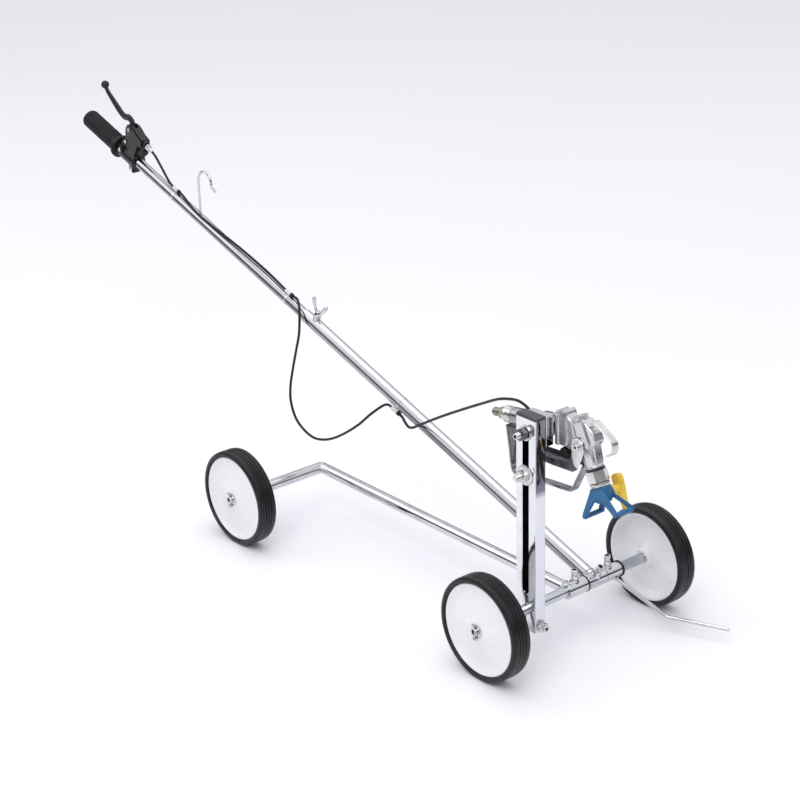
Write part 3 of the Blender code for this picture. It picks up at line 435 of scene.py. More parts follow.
# Painted reflection on the slide block's front face: darker in its lower part, lighter above.
BLOCK_CHROME = chrome_with_painted_reflection("block_chrome", [
    (0.0, (0.16, 0.15, 0.15)), (0.30, (0.12, 0.115, 0.12)), (0.42, (0.34, 0.33, 0.34)),
    (1.0, (0.46, 0.45, 0.46))], *BLOCK_Z)
# Painted reflection round the handle's tubes: light at the bottom and top, a dark band round the side between.
LOWER_CHROME = tube_chrome_with_painted_reflection("lower_tube_chrome", [
    (0.0, (0.66, 0.66, 0.68)), (0.32, (0.70, 0.70, 0.72)), (0.42, (0.36, 0.355, 0.37)),
    (0.56, (0.34, 0.335, 0.35)), (0.72, (0.54, 0.54, 0.56)), (0.88, (0.70, 0.70, 0.73)),
    (1.0, (0.72, 0.72, 0.75))])
UPPER_CHROME = tube_chrome_with_painted_reflection("upper_tube_chrome", [
    (0.0, (0.62, 0.62, 0.64)), (0.30, (0.66, 0.66, 0.68)), (0.40, (0.30, 0.30, 0.31)),
    (0.52, (0.24, 0.24, 0.25)), (0.74, (0.34, 0.34, 0.35)), (0.90, (0.50, 0.50, 0.52)),
    (1.0, (0.60, 0.60, 0.62))])


# ---- shapes: each is (points, faces), in metres ----


def frame_of(axis):
    return Vector(axis).normalized().to_track_quat("Z", "Y").to_matrix()


def lathe(profile, origin, axis, steps=64, ring=False):
    """A turned shape from (radius, height) points in mm. A ring's profile closes on itself."""
    turn, origin = frame_of(axis), Vector(origin)
    points, faces, rows = [], [], []
    for radius, height in profile:
        if radius < 0.001:
            rows.append([len(points)])
            points.append(origin + turn @ Vector((0, 0, height * MM)))
            continue
        rows.append(list(range(len(points), len(points) + steps)))
        for i in range(steps):
            angle = math.tau * i / steps
            spot = Vector((radius * math.cos(angle), radius * math.sin(angle), height)) * MM
            points.append(origin + turn @ spot)
    pairs = list(zip(rows, rows[1:])) + ([(rows[-1], rows[0])] if ring else [])
    for a, b in pairs:
        for i in range(steps):
            j = (i + 1) % steps
            if len(a) == 1 and len(b) > 1:
                faces.append((a[0], b[j], b[i]))
            elif len(b) == 1 and len(a) > 1:
                faces.append((a[i], a[j], b[0]))
            elif len(a) > 1:
                faces.append((a[i], a[j], b[j], b[i]))
    return points, faces


def rod(start, end, radius, steps=48, edge=0.0, bore=0.0, depth=0.0):
    """A round bar with broken edges, and if asked a blind hole in its far end."""
    length = (end - start).length / MM
    profile = [(0.0, 0.0), (radius - edge, 0.0)] + ([(radius, edge)] if edge else [])
    profile += ([(radius, length - edge)] if edge else []) + [(radius - edge, length)]
    profile += [(bore, length), (bore, length - depth), (0.0, length - depth)] if bore else [(0.0, length)]
    return lathe(profile, start, end - start, steps)


def collar(start, end, radius, bore, edge=0.4, steps=64):
    """A ring with broken edges."""
    length = (end - start).length / MM
    profile = [(bore, 0.0), (radius - edge, 0.0), (radius, edge), (radius, length - edge)]
    profile += [(radius - edge, length), (bore, length)]
    return lathe(profile, start, end - start, steps, ring=True)


def sweep(path, radius, sides=24, flatten=1.0, side_axis=None):
    """A round or oval bar along scene points, with its ends closed. Radius may be a list."""
    path = [Vector(p) for p in path]
    radii = radius if isinstance(radius, list) else [radius] * len(path)
    points, faces = [], []
    across = Vector(side_axis) if side_axis else None
    for i, place in enumerate(path):
        along = (path[min(i + 1, len(path) - 1)] - path[max(i - 1, 0)]).normalized()
        if across is None:
            across = along.orthogonal()
        across = (across - along * across.dot(along)).normalized()
        other = along.cross(across)
        for k in range(sides):
            angle = math.tau * k / sides
            offset = across * math.cos(angle) + other * math.sin(angle) * flatten
            points.append(place + offset * radii[i] * MM)
    for i in range(len(path) - 1):
        for k in range(sides):
            a, b = i * sides + k, i * sides + (k + 1) % sides
            faces.append((a, b, b + sides, a + sides))
    faces.append(tuple(range(sides))[::-1])
    last = (len(path) - 1) * sides
    faces.append(tuple(range(last, last + sides)))
    return points, faces


def to_bmesh(points, faces):
    bm = bmesh.new()
    verts = [bm.verts.new(p) for p in points]
    for face in faces:
        bm.faces.new([verts[i] for i in face])
    return bm


def from_bmesh(bm):
    bm.verts.index_update()
    shape = [v.co.copy() for v in bm.verts], [tuple(v.index for v in f.verts) for f in bm.faces]
    bm.free()
    return shape


def softened(points, faces, width, segments=2, angle=30.0):
    """Rounds the sharp edges of a shape."""
    bm = to_bmesh(points, faces)
    bmesh.ops.recalc_face_normals(bm, faces=bm.faces)
    edges = [e for e in bm.edges if e.is_manifold and e.calc_face_angle() > math.radians(angle)]
    bmesh.ops.bevel(bm, geom=edges, offset=width * MM, segments=segments, affect="EDGES", clamp_overlap=True)
    return from_bmesh(bm)


def between(low, high):
    """The bar whose ends are these two matching loops of points."""
    count = len(low)
    faces = [tuple(range(count)), tuple(range(2 * count - 1, count - 1, -1))]
    faces += [(i, i + count, (i + 1) % count + count, (i + 1) % count) for i in range(count)]
    return low + high, faces


def prism(outline, low_y, high_y, edge, segments=2):
    """A flat outline in (x, z), from one Y to another, with rounded edges."""
    shape = between([at(x, low_y, z) for x, z in outline], [at(x, high_y, z) for x, z in outline])
    return softened(*shape, edge, segments) if edge else shape


def handle_prism(outline, half, edge):
    """A prism across the handle, from (t, n) points."""
    places = [cart_mm(on_handle(t, n)) for t, n in outline]
    return prism([(p[0], p[2]) for p in places], HANDLE_Y - half, HANDLE_Y + half, edge)


def box(low, high, edge, segments=2):
    outline = [(low[0], low[2]), (high[0], low[2]), (high[0], high[2]), (low[0], high[2])]
    return prism(outline, low[1], high[1], edge, segments)


def hexagon(start, end, radius, edge=0.7, bore=0.0):
    """A hexagon bar with its corners taken down at both ends, as on a nut."""
    length = (end - start).length / MM
    steps, sector = 12, math.pi / 6
    flat = radius * math.cos(sector)
    turn, points, faces = frame_of(end - start), [], []
    rings = [(flat - edge, 0.0), (radius, edge), (radius, length - edge), (flat - edge, length)]
    rings += [(bore, length), (bore, 0.0)] if bore else []
    for ring_radius, height in rings:
        for i in range(steps):
            angle = math.tau * i / steps
            off_flat = (angle + sector) % (2 * sector) - sector
            reach = flat / math.cos(off_flat) if ring_radius == radius else ring_radius
            spot = Vector((reach * math.cos(angle), reach * math.sin(angle), height)) * MM
            points.append(start + turn @ spot)
    for row in range(len(rings) - (0 if bore else 1)):
        below, above = row * steps, (row + 1) % len(rings) * steps
        for i in range(steps):
            j = (i + 1) % steps
            faces.append((below + i, below + j, above + j, above + i))
    if not bore:
        faces.append(tuple(range(steps))[::-1])
        faces.append(tuple(range(3 * steps, 4 * steps)))
    return points, faces


def ball(centre, radius, segments=32, rings=20):
    angles = [math.pi * i / rings for i in range(1, rings)]
    middle = [(radius * math.sin(angle), -radius * math.cos(angle)) for angle in angles]
    return lathe([(0.0, -radius), *middle, (0.0, radius)], centre, (0, 0, 1), segments)


def thread(start, end, radius, pitch, depth):
    """Ridges like a screw's thread along a bar."""
    length = (end - start).length / MM
    profile, height = [(0.0, 0.0), (radius - depth, 0.0)], 0.4
    while height + pitch < length:
        profile += [(radius - depth, height), (radius, height + pitch * 0.35), (radius, height + pitch * 0.6)]
        height += pitch
    profile += [(radius - depth, height), (radius - depth, length), (0.0, length)]
    return lathe(profile, start, end - start, 48)


def piece(name, body, slot, nodes, *shapes):
    """One visible piece from (shape, material) pairs. It rides on its body and stands for its CAD nodes."""
    mesh = bpy.data.meshes.new(name)
    bm = bmesh.new()
    materials = []
    for (points, faces), mat in shapes:
        if mat not in materials:
            materials.append(mat)
        verts = [bm.verts.new(p) for p in points]
        made = [bm.faces.new([verts[i] for i in face]) for face in faces]
        bmesh.ops.recalc_face_normals(bm, faces=made)
        for face in made:
            face.material_index = materials.index(mat)
            face.smooth = True
    bm.to_mesh(mesh)
    bm.free()
    mesh.set_sharp_from_angle(angle=SHARP_ANGLE)
    for mat in materials:
        mesh.materials.append(mat)
    obj = bpy.data.objects.new(name, mesh)
    bpy.context.scene.collection.objects.link(obj)
    if body:
        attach(obj, body)
    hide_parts(*nodes)
    return obj


def all_in(mat, *shapes):
    return [(shape, mat) for shape in shapes]


def carved(shape, *cutters):
    """The shape with the cutters taken out of it."""
    holders = []
    for points, faces in (shape, *cutters):
        mesh = bpy.data.meshes.new("carving")
        bm = to_bmesh(points, faces)
        bmesh.ops.recalc_face_normals(bm, faces=bm.faces)
        bm.to_mesh(mesh)
        bm.free()
        holder = bpy.data.objects.new("carving", mesh)
        bpy.context.scene.collection.objects.link(holder)
        holders.append(holder)
    for cutter in holders[1:]:
        modifier = holders[0].modifiers.new("cut", "BOOLEAN")
        modifier.operation, modifier.solver, modifier.object = "DIFFERENCE", "EXACT", cutter
    bpy.context.view_layer.update()
    graph = bpy.context.evaluated_depsgraph_get()
    result = bpy.data.meshes.new_from_object(holders[0].evaluated_get(graph))
    made = [v.co.copy() for v in result.vertices], [tuple(p.vertices) for p in result.polygons]
    for holder in holders:
        bpy.data.objects.remove(holder)
    return made


# ---- cables ----


def cable(name, node, route, trims, bodies, ends=None):
    """A stretch of the cable. It rides on one body, or, where ends are given, on none, and stays where it is built.
    """
    points = list(route)
    points[0] = points[0] + (points[1] - points[0]).normalized() * trims[0]
    points[-1] = points[-1] + (points[-2] - points[-1]).normalized() * trims[1]
    dense = [at(*p) for p in smooth(points, 3.0)]
    body = None if ends else bodies[0]
    obj = piece(name, body, "black_plastic", [node], (sweep(dense, CABLE_R, 16), PLASTIC))
    if ends:
        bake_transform(obj)


def cables():
    high = UPPER_R + GAP + GUIDE_R
    upper = [(1213.0, 43.1, 0), (1205, 41.5, 0), (1194, 36.8, 0), (1172, 25.9, 0), (1157, 18.4, 0)]
    upper += [(1147, high + 1.6, 0), (1138, high, 0), (1116, high, 0), (1106, high, 0), (1055, 11.6, -6.5)]
    upper += [(1010, 12, -5.5), (930, 13.2, 0), (850, 13, 2.5)]
    upper += [(t, high, 0) for t in (800, 790, 780)]
    half = GAP / 2
    aslant = -(LOWER_R + GAP + GUIDE_R) * math.cos(math.radians(45))
    guide_2 = [cart_mm(on_handle(t, high)) for t in (780, 770, 764)]
    guide_3_in = [cart_mm(on_handle(t, aslant, aslant)) for t in (480, 474, 464)]
    guide_3_out = [cart_mm(on_handle(t, aslant, aslant)) for t in (464, 454, 448)]
    route = smooth([cart_mm(on_handle(*p)) for p in upper], ROUTE_SPACING)
    cable("cable_upper_run", "cable_upper", route, (GAP, half), ("handle_upper",))
    loop = smooth(guide_2 + CABLE_LOOP + guide_3_in, ROUTE_SPACING)
    cable("cable_slack_loop", "cable_loop", loop, (half, half), ("handle_upper", "handle_lower"),
          (CABLE_LOOP[1], guide_3_in[0]))
    run = smooth(guide_3_out + CABLE_RUN + [CABLE_STOP], ROUTE_SPACING)
    split = next(i for i, point in enumerate(run) if point.x > CABLE_SPLIT_X)
    cable("cable_low_run", "cable_run", run[: split + 1], (half, half), ("handle_lower", "chassis"),
          (guide_3_out[1], run[split]))
    cable("cable_gun_run", "cable_drop", run[split:], (half, 1.2), ("chassis", "gun_carriage"),
          (run[split], CABLE_STOP))


# ---- wheels ----


def tyre(side, centre, axis):
    half = TYRE_W / 2
    shoulder = [(DISC_R, half - 1.6), (DISC_R + 0.8, half - 0.5), (DISC_R + 2.2, half)]
    shoulder += [(WHEEL_R - 4.2, half - 0.1), (WHEEL_R - 2.4, half - 0.5), (WHEEL_R - 1.1, half - 1.5)]
    shoulder += [(WHEEL_R - 0.6, half - 3.0)]
    tread = []
    for low, high in ((6.0, 10.8), (0.9, 4.8), (-4.8, -0.9), (-10.8, -6.0)):
        tread += [(WHEEL_R - 0.1, high), (WHEEL_R, high - 0.6), (WHEEL_R, low + 0.6), (WHEEL_R - 0.1, low)]
        tread += [(WHEEL_R - 1.5, low - 0.35), (WHEEL_R - 1.5, low - 0.85)]
    profile = shoulder + tread[:-2] + [(r, -h) for r, h in reversed(shoulder)]
    piece(f"tyre_band_{side}", f"wheel_{side}", "tyre_rubber", [f"tyre_{side}"],
          (lathe(profile, centre, axis, WHEEL_STEPS, ring=True), TYRE))


def wheel_shell(side, centre, axis):
    """The dished disc, with six shallow ribs from the hub to the rim, and its bush."""
    rim = DISC_R - 0.1
    outer = [(rim, 12.5), (rim - 0.8, 13.6), (rim - 2.2, 13.9), (rim - 3.6, 13.2), (rim - 6.5, 9.8)]
    outer += [(rim - 10.0, 8.2), (52.0, 8.0), (44.0, 8.6), (33.0, 10.2), (24.0, 12.6), (18.0, 14.4)]
    outer += [(14.5, 15.6), (11.5, 16.6), (8.8, 16.8), (8.3, 16.6)]
    inner = [(8.3, -16.8), (12.5, -16.8), (14.0, -15.6), (16.0, -6.0), (22.0, -1.0), (44.0, 1.2)]
    inner += [(rim - 12.0, 0.6), (rim - 8.0, -3.0), (rim - 4.5, -12.6), (rim - 1.0, -13.2), (rim, -12.4)]
    points, faces = lathe(outer + inner, centre, axis, WHEEL_STEPS, ring=True)
    shaped = []
    for point in points:
        radial = point - centre
        radius = math.hypot(radial.x, radial.z) / MM
        angle = math.atan2(radial.z, radial.x)
        swell = max(0.0, 1.0 - abs(radius - 40.0) / 24.0) * 0.55 * math.cos(6 * angle) ** 3
        shaped.append(point + axis * swell * MM)
    reach = axis * 17.2 * MM
    bush = collar(centre + reach, centre - reach, 8.4, JOURNAL_R + 0.3, 0.3, 48)
    piece(f"wheel_shell_{side}", f"wheel_{side}", "white_disc", [f"wheel_disc_{side}"],
          ((shaped, faces), WHITE), (bush, PLASTIC))


def wheel(side, x, y):
    outward = math.copysign(1.0, y)
    centre, axis = at_axle(y, x), Vector((0, outward, 0))
    tyre(side, centre, axis)
    wheel_shell(side, centre, axis)
    front, back = outward * (HUB_FACE + 0.2), y - outward * (TYRE_W / 2 + 1.4)
    washers = ((front, front + outward * 1.4, 11.2, JOURNAL_R + 0.1, 0.35),
               (back - outward * 0.4, back + outward * 0.6, 10.5, AXLE_R + 0.05, 0.3))
    rings = [collar(at_axle(near, x), at_axle(far, x), *sizes) for near, far, *sizes in washers]
    piece(f"hub_washer_{side}", "chassis", "zinc_steel", [f"axle_washer_{side}"], *all_in(ZINC, *rings))
    legs = []
    for leg in (-1, 1):
        path = [(0.0, -13.2), (leg * 2.3, -11.6), (leg * 2.4, -9.4), (leg * 0.6, -7.2), (leg * 0.6, 7.4)]
        path += [(leg * 2.4, 9.6), (leg * 6.0, 10.6)]
        places = smooth([(x + a, outward * COTTER_Y, WHEEL_R + b) for a, b in path], 0.9)
        legs.append(sweep([at(*p) for p in places], 0.9, 10))
    piece(f"split_pin_{side}", "chassis", "zinc_steel", [f"cotter_pin_{side}"], *all_in(STRAP, *legs))


# ---- chassis ----


def lock_screw(name, node, body, y, lean):
    """The socket screw in a sleeve's welded nut."""
    screw = [(0.0, 19.0), (3.5, 19.0), (3.5, 22.0), (4.7, 22.0), (5.3, 21.3), (5.3, 17.0), (4.6, 14.0)]
    screw += [(3.2, 12.9), (3.2, 0.0), (0.0, 0.0)]
    low, high = from_axle(y, 8.6, lean), from_axle(y, 20, lean)
    # painted shade: a dark plug in the screw head's socket
    socket = rod(from_axle(y, 27.4, lean), from_axle(y, 30.3, lean), 3.45, 24)
    piece(name, body, "zinc_steel", [node], (lathe(screw, low, high - low, 48), ZINC), (socket, PAINTED_SHADE))


def sleeve(span):
    return collar(at_axle(span[0]), at_axle(span[1]), SLEEVE_R, AXLE_R + 0.3, 0.7, 96)


def boss(y, lean):
    """The nut welded on a sleeve."""
    foot, top = from_axle(y, 10.0, lean), from_axle(y, 21.0, lean)
    profile = [(3.4, 0.0), (8.0, 0.0), (7.2, 2.6), (5.6, 4.4), (5.2, 6.0), (5.2, 10.4), (4.8, 11.0)]
    profile.append((3.4, 11.0))
    return lathe(profile, foot, top - foot, 40, ring=True)


def fillet_weld(centre, axis, radius, bead):
    """A bead of weld round a joint."""
    turn = frame_of(axis)
    path = []
    for i in range(49):
        angle = math.tau * i / 48
        reach = radius * (1 + 0.02 * math.sin(7 * angle))
        path.append(centre + turn @ (Vector((reach * math.cos(angle), reach * math.sin(angle), 0)) * MM))
    return sweep(path, bead, 10)


def axle_mouth(x, side):
    """Painted shade: a dark skin inside an axle's hollow end."""
    deep = at_axle(side * (AXLE_END - AXLE_BORE_DEPTH + 0.3), x)
    outer, inner = AXLE_BORE_R - 0.05, AXLE_BORE_R - 0.4
    return lathe([(0.0, 0.0), (outer, 0.0), (outer, 11.5), (inner, 11.5), (inner, 1.0), (0.0, 1.0)], deep,
                 (0, side, 0), 32)


def axle_tip():
    """The profile of an axle's hollow end."""
    blind = AXLE_END - AXLE_BORE_DEPTH
    tip = [(0.0, blind), (AXLE_BORE_R, blind), (AXLE_BORE_R, AXLE_END), (JOURNAL_R - 0.5, AXLE_END)]
    return tip + [(JOURNAL_R, AXLE_END - 0.6)]


def front_axle():
    half = axle_tip() + [(JOURNAL_R, SHOULDER_Y), (AXLE_R - 0.4, SHOULDER_Y), (AXLE_R, SHOULDER_Y - 0.5)]
    bar = lathe(half + [(r, -h) for r, h in reversed(half)], at_axle(0), (0, 1, 0), 96)
    ends = [axle_mouth(0, s) for s in (1, -1)]
    piece("axle_bar", "chassis", "chrome", ["front_axle"], (bar, SATIN), *all_in(PAINTED_SHADE, *ends))


def rear_frame():
    corner = at_axle(0, -WHEELBASE)
    rail = mitre(sweep([at_axle(0, -6), corner], FRAME_TUBE_R, 64), corner, Vector((-1, 0, 0)))
    arm_end = at_axle(-SHOULDER_Y, -WHEELBASE)
    arm = mitre(sweep([corner, arm_end], FRAME_TUBE_R, 64), corner, Vector((0, 1, 0)))
    stub = lathe(axle_tip() + [(JOURNAL_R, SHOULDER_Y - 4), (0.0, SHOULDER_Y - 4)], corner, (0, -1, 0))
    plug = collar(arm_end, at_axle(-SHOULDER_Y + 5, -WHEELBASE), FRAME_TUBE_R + 0.05, 4.5, 0.8)
    bead = fillet_weld(at_axle(0, -SLEEVE_R + 0.6), (1, 0, 0), FRAME_TUBE_R + 0.2, 1.0)
    piece("frame_tubes", "chassis", "chrome", ["rear_frame"],
          *all_in(CHROME, sleeve(SLEEVE_1), boss(FRAME_BOLT_Y, 0.0), rail, arm), (stub, SATIN),
          (axle_mouth(-WHEELBASE, -1), PAINTED_SHADE), *all_in(CHROME, plug, bead))
    lock_screw("frame_screw", "frame_lock_bolt", "chassis", FRAME_BOLT_Y, 0.0)


def chassis():
    front_axle()
    rear_frame()
    for name, node, span, radius in (("spacer_washer", "spacer_ring", SPACER, 13.1),
                                     ("stop_washer", "stop_ring", STOP_RING, 12.7)):
        shape = collar(at_axle(span[0]), at_axle(span[1]), radius, AXLE_R + 0.1, 0.5, 96)
        piece(name, "chassis", "black_rubber", [node], (shape, RUBBER))
    post()


def mitre(shape, corner, away):
    """Runs a bar's end on past the corner, then cuts it along the corner's diagonal."""
    bm = to_bmesh(*shape)
    for vert in bm.verts:
        if (vert.co - corner).length < 0.012:
            vert.co += away * 0.02
    bmesh.ops.bisect_plane(bm, geom=bm.verts[:] + bm.edges[:] + bm.faces[:], plane_co=corner,
                           plane_no=(-1, 1, 0), clear_outer=True)
    return from_bmesh(bm)


def rounded_bar(half_x, half_y, low_z, high_z, radius):
    steps, outline = 6, []
    for sx, sy, start in ((1, 1, 0), (-1, 1, 90), (-1, -1, 180), (1, -1, 270)):
        for i in range(steps + 1):
            angle = math.radians(start + 90 * i / steps)
            x, y = sx * (half_x - radius), sy * (half_y - radius)
            outline.append((x + radius * math.cos(angle), POST_Y + y + radius * math.sin(angle)))
    return between([at(x, y, low_z) for x, y in outline], [at(x, y, high_z) for x, y in outline])


def slot_outline(half, low, high):
    """The (x, z) outline of a slot with round ends."""
    steps, outline = 14, []
    for middle, turned in ((high - half, 0), (low + half, 1)):
        for i in range(steps + 1):
            angle = math.pi * (turned + i / steps)
            outline.append((half * math.cos(angle), middle + half * math.sin(angle)))
    return outline


def with_bore_in_painted_shade(points, faces):
    """The post's skin in chrome, and the walls of its hollow in the dark material as painted shade."""
    bore_x, bore_y = POST_X / 2 - POST_WALL, POST_T / 2 - POST_WALL
    skin, lining = [], []
    for face in faces:
        corners = [(abs(points[i].x / MM - AXLE_X), abs(points[i].y / MM - POST_Y)) for i in face]
        middle = cart_mm(sum((points[i] for i in face), Vector()) / len(face))
        within = abs(middle[0]) < bore_x + 0.3 and abs(middle[1] - POST_Y) < bore_y + 0.3
        on_wall = any(abs(cx - bore_x) < 0.2 or abs(cy - bore_y) < 0.2 for cx, cy in corners)
        (lining if within and on_wall else skin).append(face)
    both = []
    for chosen, mat in ((skin, POST_CHROME), (lining, PAINTED_SHADE)):
        used = sorted({i for face in chosen for i in face})
        index = {old: new for new, old in enumerate(used)}
        shape = [points[i] for i in used], [tuple(index[i] for i in face) for face in chosen]
        both.append((shape, mat))
    return both


def post():
    half_x, half_y = POST_X / 2, POST_T / 2
    outer = rounded_bar(half_x, half_y, *POST_Z, 2.4)
    hollow = rounded_bar(half_x - POST_WALL, half_y - POST_WALL, POST_Z[0] - 5, POST_Z[1] + 5, 1.0)
    near, far = POST_Y - POST_T, POST_Y + POST_T
    slot = prism(slot_outline(SLOT_W / 2, *SLOT_Z), near, far, 0)
    slit = box((-SLIT_W / 2, near, POST_Z[0] - 5), (SLIT_W / 2, far, SLOT_Z[0] + 3), 0)
    hole = rod(at_axle(near), at_axle(far), AXLE_R + 0.3, 64)
    bolt_hole = across_post(-half_x - 9, half_x + 9, rod, 5.3)
    tube = carved(outer, hollow, slot, slit, hole, bolt_hole)
    piece("post_tube", "chassis", "chrome", ["post"], *with_bore_in_painted_shade(*tube))
    top = POST_Z[1] + 0.2
    cap = softened(*rounded_bar(half_x, half_y, top, top + 3.9, 2.4), 0.8, 2, 40)
    piece("post_end_cap", "chassis", "black_plastic", ["post_cap"], (cap, CAP))
    shaft = across_post(-half_x - 2, half_x + 13, rod, 5.0, 48, 0.6, 2.7, 3.0)
    head = across_post(-half_x - 8, -half_x - 0.2, hexagon, 9.0, 0.9)
    # painted shade: a dark disc at the bottom of the bolt end's hole
    well = across_post(half_x + 9.8, half_x + 10.3, rod, 2.65, 24)
    piece("pinch_bolt", "chassis", "zinc_steel", ["clamp_bolt"], *all_in(ZINC, shaft, head), (well, PAINTED_SHADE))
    nut = across_post(half_x + 2.0, half_x + 9, hexagon, 8.8, 0.9, 5.05)
    seat = across_post(half_x + 0.2, half_x + 1.9, collar, 9.6, 5.05, 0.3)
    piece("pinch_nut", "chassis", "zinc_steel", ["clamp_nut"], *all_in(ZINC, nut, seat))


def across_post(start_x, end_x, shape, *sizes):
    """A turned or hexagon shape along the clamp bolt's line."""
    return shape(at(start_x, POST_Y, CLAMP_BOLT_Z), at(end_x, POST_Y, CLAMP_BOLT_Z), *sizes)


# ---- handle ----


def handle_tubes():
    lean = math.radians(28.0)
    tube = collar(on_handle(6), on_handle(LOWER_END), LOWER_R, LOWER_BORE, 0.6, 96)
    bead = fillet_weld(on_handle(SLEEVE_R - 0.4), on_handle(9) - on_handle(0), LOWER_R + 0.2, 1.0)
    nut = hexagon(on_handle(WING_T, 10.3), on_handle(WING_T, 18.0), 7.4)
    piece("handle_outer_tube", "handle_lower", "chrome", ["handle_lower_tube"], (tube, LOWER_CHROME),
          *all_in(CHROME, sleeve(SLEEVE_2), bead, boss(HANDLE_Y + 0.5, lean)), (nut, ZINC))
    lock_screw("handle_screw", "handle_lock_bolt", "handle_lower", HANDLE_Y + 0.5, lean)
    inner = rod(on_handle(UPPER_START), on_handle(UPPER_END), UPPER_R, 96, 0.4)
    piece("handle_inner_tube", "handle_upper", "chrome", ["handle_upper_tube"], (inner, UPPER_CHROME))


def hose_hook():
    route = [(1050, 11.4), (1056, 30), (1064, 52), (1070, 70), (1068, 83), (1059, 92), (1047, 94), (1037, 88)]
    route += [(1031, 79), (1017, 75)]
    wire = sweep(handle_curve(route, 1.6), 2.2, 20)
    foot = fillet_weld(on_handle(1050.4, 10.6), (0, 0, 1), 2.4, 0.9)
    piece("hose_hook_wire", "handle_upper", "chrome", ["hose_hook"], *all_in(CHROME, wire, foot))


def handle_curve(route, spacing):
    return [on_handle(p.x, p.y) for p in smooth([(t, n, 0.0) for t, n in route], spacing)]


def cable_guides():
    """Bright sleeves with a black end, each held to its tube by a thin band."""
    for name, node, t, radius, angle, body in (
        ("guide_clip_high", "cable_guide_high", 1127.0, UPPER_R, 0.0, "handle_upper"),
        ("guide_clip_middle", "cable_guide_middle", 780.0, UPPER_R, 0.0, "handle_upper"),
        ("guide_clip_low", "cable_guide_low", 464.0, LOWER_R, -135.0, "handle_lower"),
    ):
        stand = radius + GAP + GUIDE_R
        n, dy = stand * math.cos(math.radians(angle)), stand * math.sin(math.radians(angle))
        low, seam, high = t - GUIDE_L / 2, t - GUIDE_L * 0.22, t + GUIDE_L / 2
        bore = GUIDE_BORE - 0.25
        clip = collar(on_handle(seam, n, dy), on_handle(high, n, dy), GUIDE_R, bore, 0.6, 32)
        end = collar(on_handle(low, n, dy), on_handle(seam + 0.1, n, dy), GUIDE_R + 0.2, bore, 0.6, 32)
        band = collar(on_handle(t - 2.5), on_handle(t + 2.5), radius + 0.55, radius + 0.02, 0.2)
        piece(name, body, "black_plastic", [node], (clip, SLEEVE), (end, PLASTIC), (band, CHROME))


def handle():
    handle_tubes()
    grip()
    lever_perch()
    lever()
    adjuster()
    wing()
    hose_hook()
    cable_guides()


def grip():
    length = GRIP_END - GRIP_START
    profile = [(0.0, length), (11.0, length), (14.5, length - 0.8), (16.4, length - 2.6)]
    profile.append((GRIP_R, length - 5.0))
    height, groove = length - 7.0, GRIP_R - 0.55
    while height > 16.0:
        profile += [(GRIP_R, height), (GRIP_R, height - 1.3), (groove, height - 1.7), (groove, height - 2.3)]
        height -= 2.7
    flange = [(0.0, 13.5), (0.3, 10.0), (2.5, 7.4), (4.6, 6.2), (5.0, 5.0), (5.0, 1.6), (4.2, 0.6)]
    profile += [(GRIP_R + out, height) for out, height in flange]
    profile += [(GRIP_R + 1.0, 0.0), (UPPER_R + 0.1, 0.0)]
    start, end = on_handle(GRIP_START), on_handle(GRIP_END)
    piece("grip_sleeve", "handle_upper", "black_rubber", ["handle_grip"],
          (lathe(profile, start, end - start, 96), RUBBER))


def lever_perch():
    outline = [(1252, 8), (1300, 8), (1302, 14), (1297, 24), (1288, 34), (1291, 44), (1292, 54), (1287, 62)]
    outline += [(1276, 65), (1264, 62), (1254, 57), (1236, 54), (1235, 40), (1246, 36), (1249, 20)]
    slot = handle_prism([(1268, 42), (1300, 42), (1300, 80), (1268, 80)], LEVER_T / 2 + 0.5, 0)
    shapes = [carved(handle_prism(outline, 10.0, 2.4), slot)]
    shapes.append(collar(on_handle(1249), on_handle(1303), 14.8, UPPER_R + 0.1, 1.8, 96))
    shapes.append(handle_prism([(1252, -24), (1268, -24), (1268, -8), (1252, -8)], 8.0, 1.4))
    shapes.append(rod(on_handle(1240, 46.9), on_handle(1232, 45.8), 7.0, 48, 0.8))
    shapes.append(rod(on_handle(1240, 20.0), on_handle(1240, 42.0), 6.0, 48, 1.2))
    # painted shade: a thin dark sheet along the clamp's split line
    split_line = handle_prism([(1249, -13.6), (1271, -13.6), (1271, -12.6), (1249, -12.6)], 8.3, 0)
    grub = rod(on_handle(1244, 31.0), on_handle(1229, 31.0), 4.4, 36, 0.9)
    heads = [rod(on_handle(1260, -18, -7.6), on_handle(1260, -18, -9.6), 3.6, 32, 0.6, 1.7, 1.2)]
    for t, n, out in ((1290.0, 8.0, 16.5), (1284.0, 27.0, 10.0)):
        low = on_handle(t, n, -out)
        shapes.append(rod(on_handle(t, n), low, 6.4, 36, 1.0))
        heads.append(rod(low, on_handle(t, n, -out - 2.0), 3.4, 32, 0.6, 1.4, 1.0))
    piece("lever_bracket", "handle_upper", "black_lever", ["lever_perch"], *all_in(LEVER, *shapes),
          (split_line, PAINTED_SHADE), (grub, PLASTIC), *all_in(ZINC, *heads))


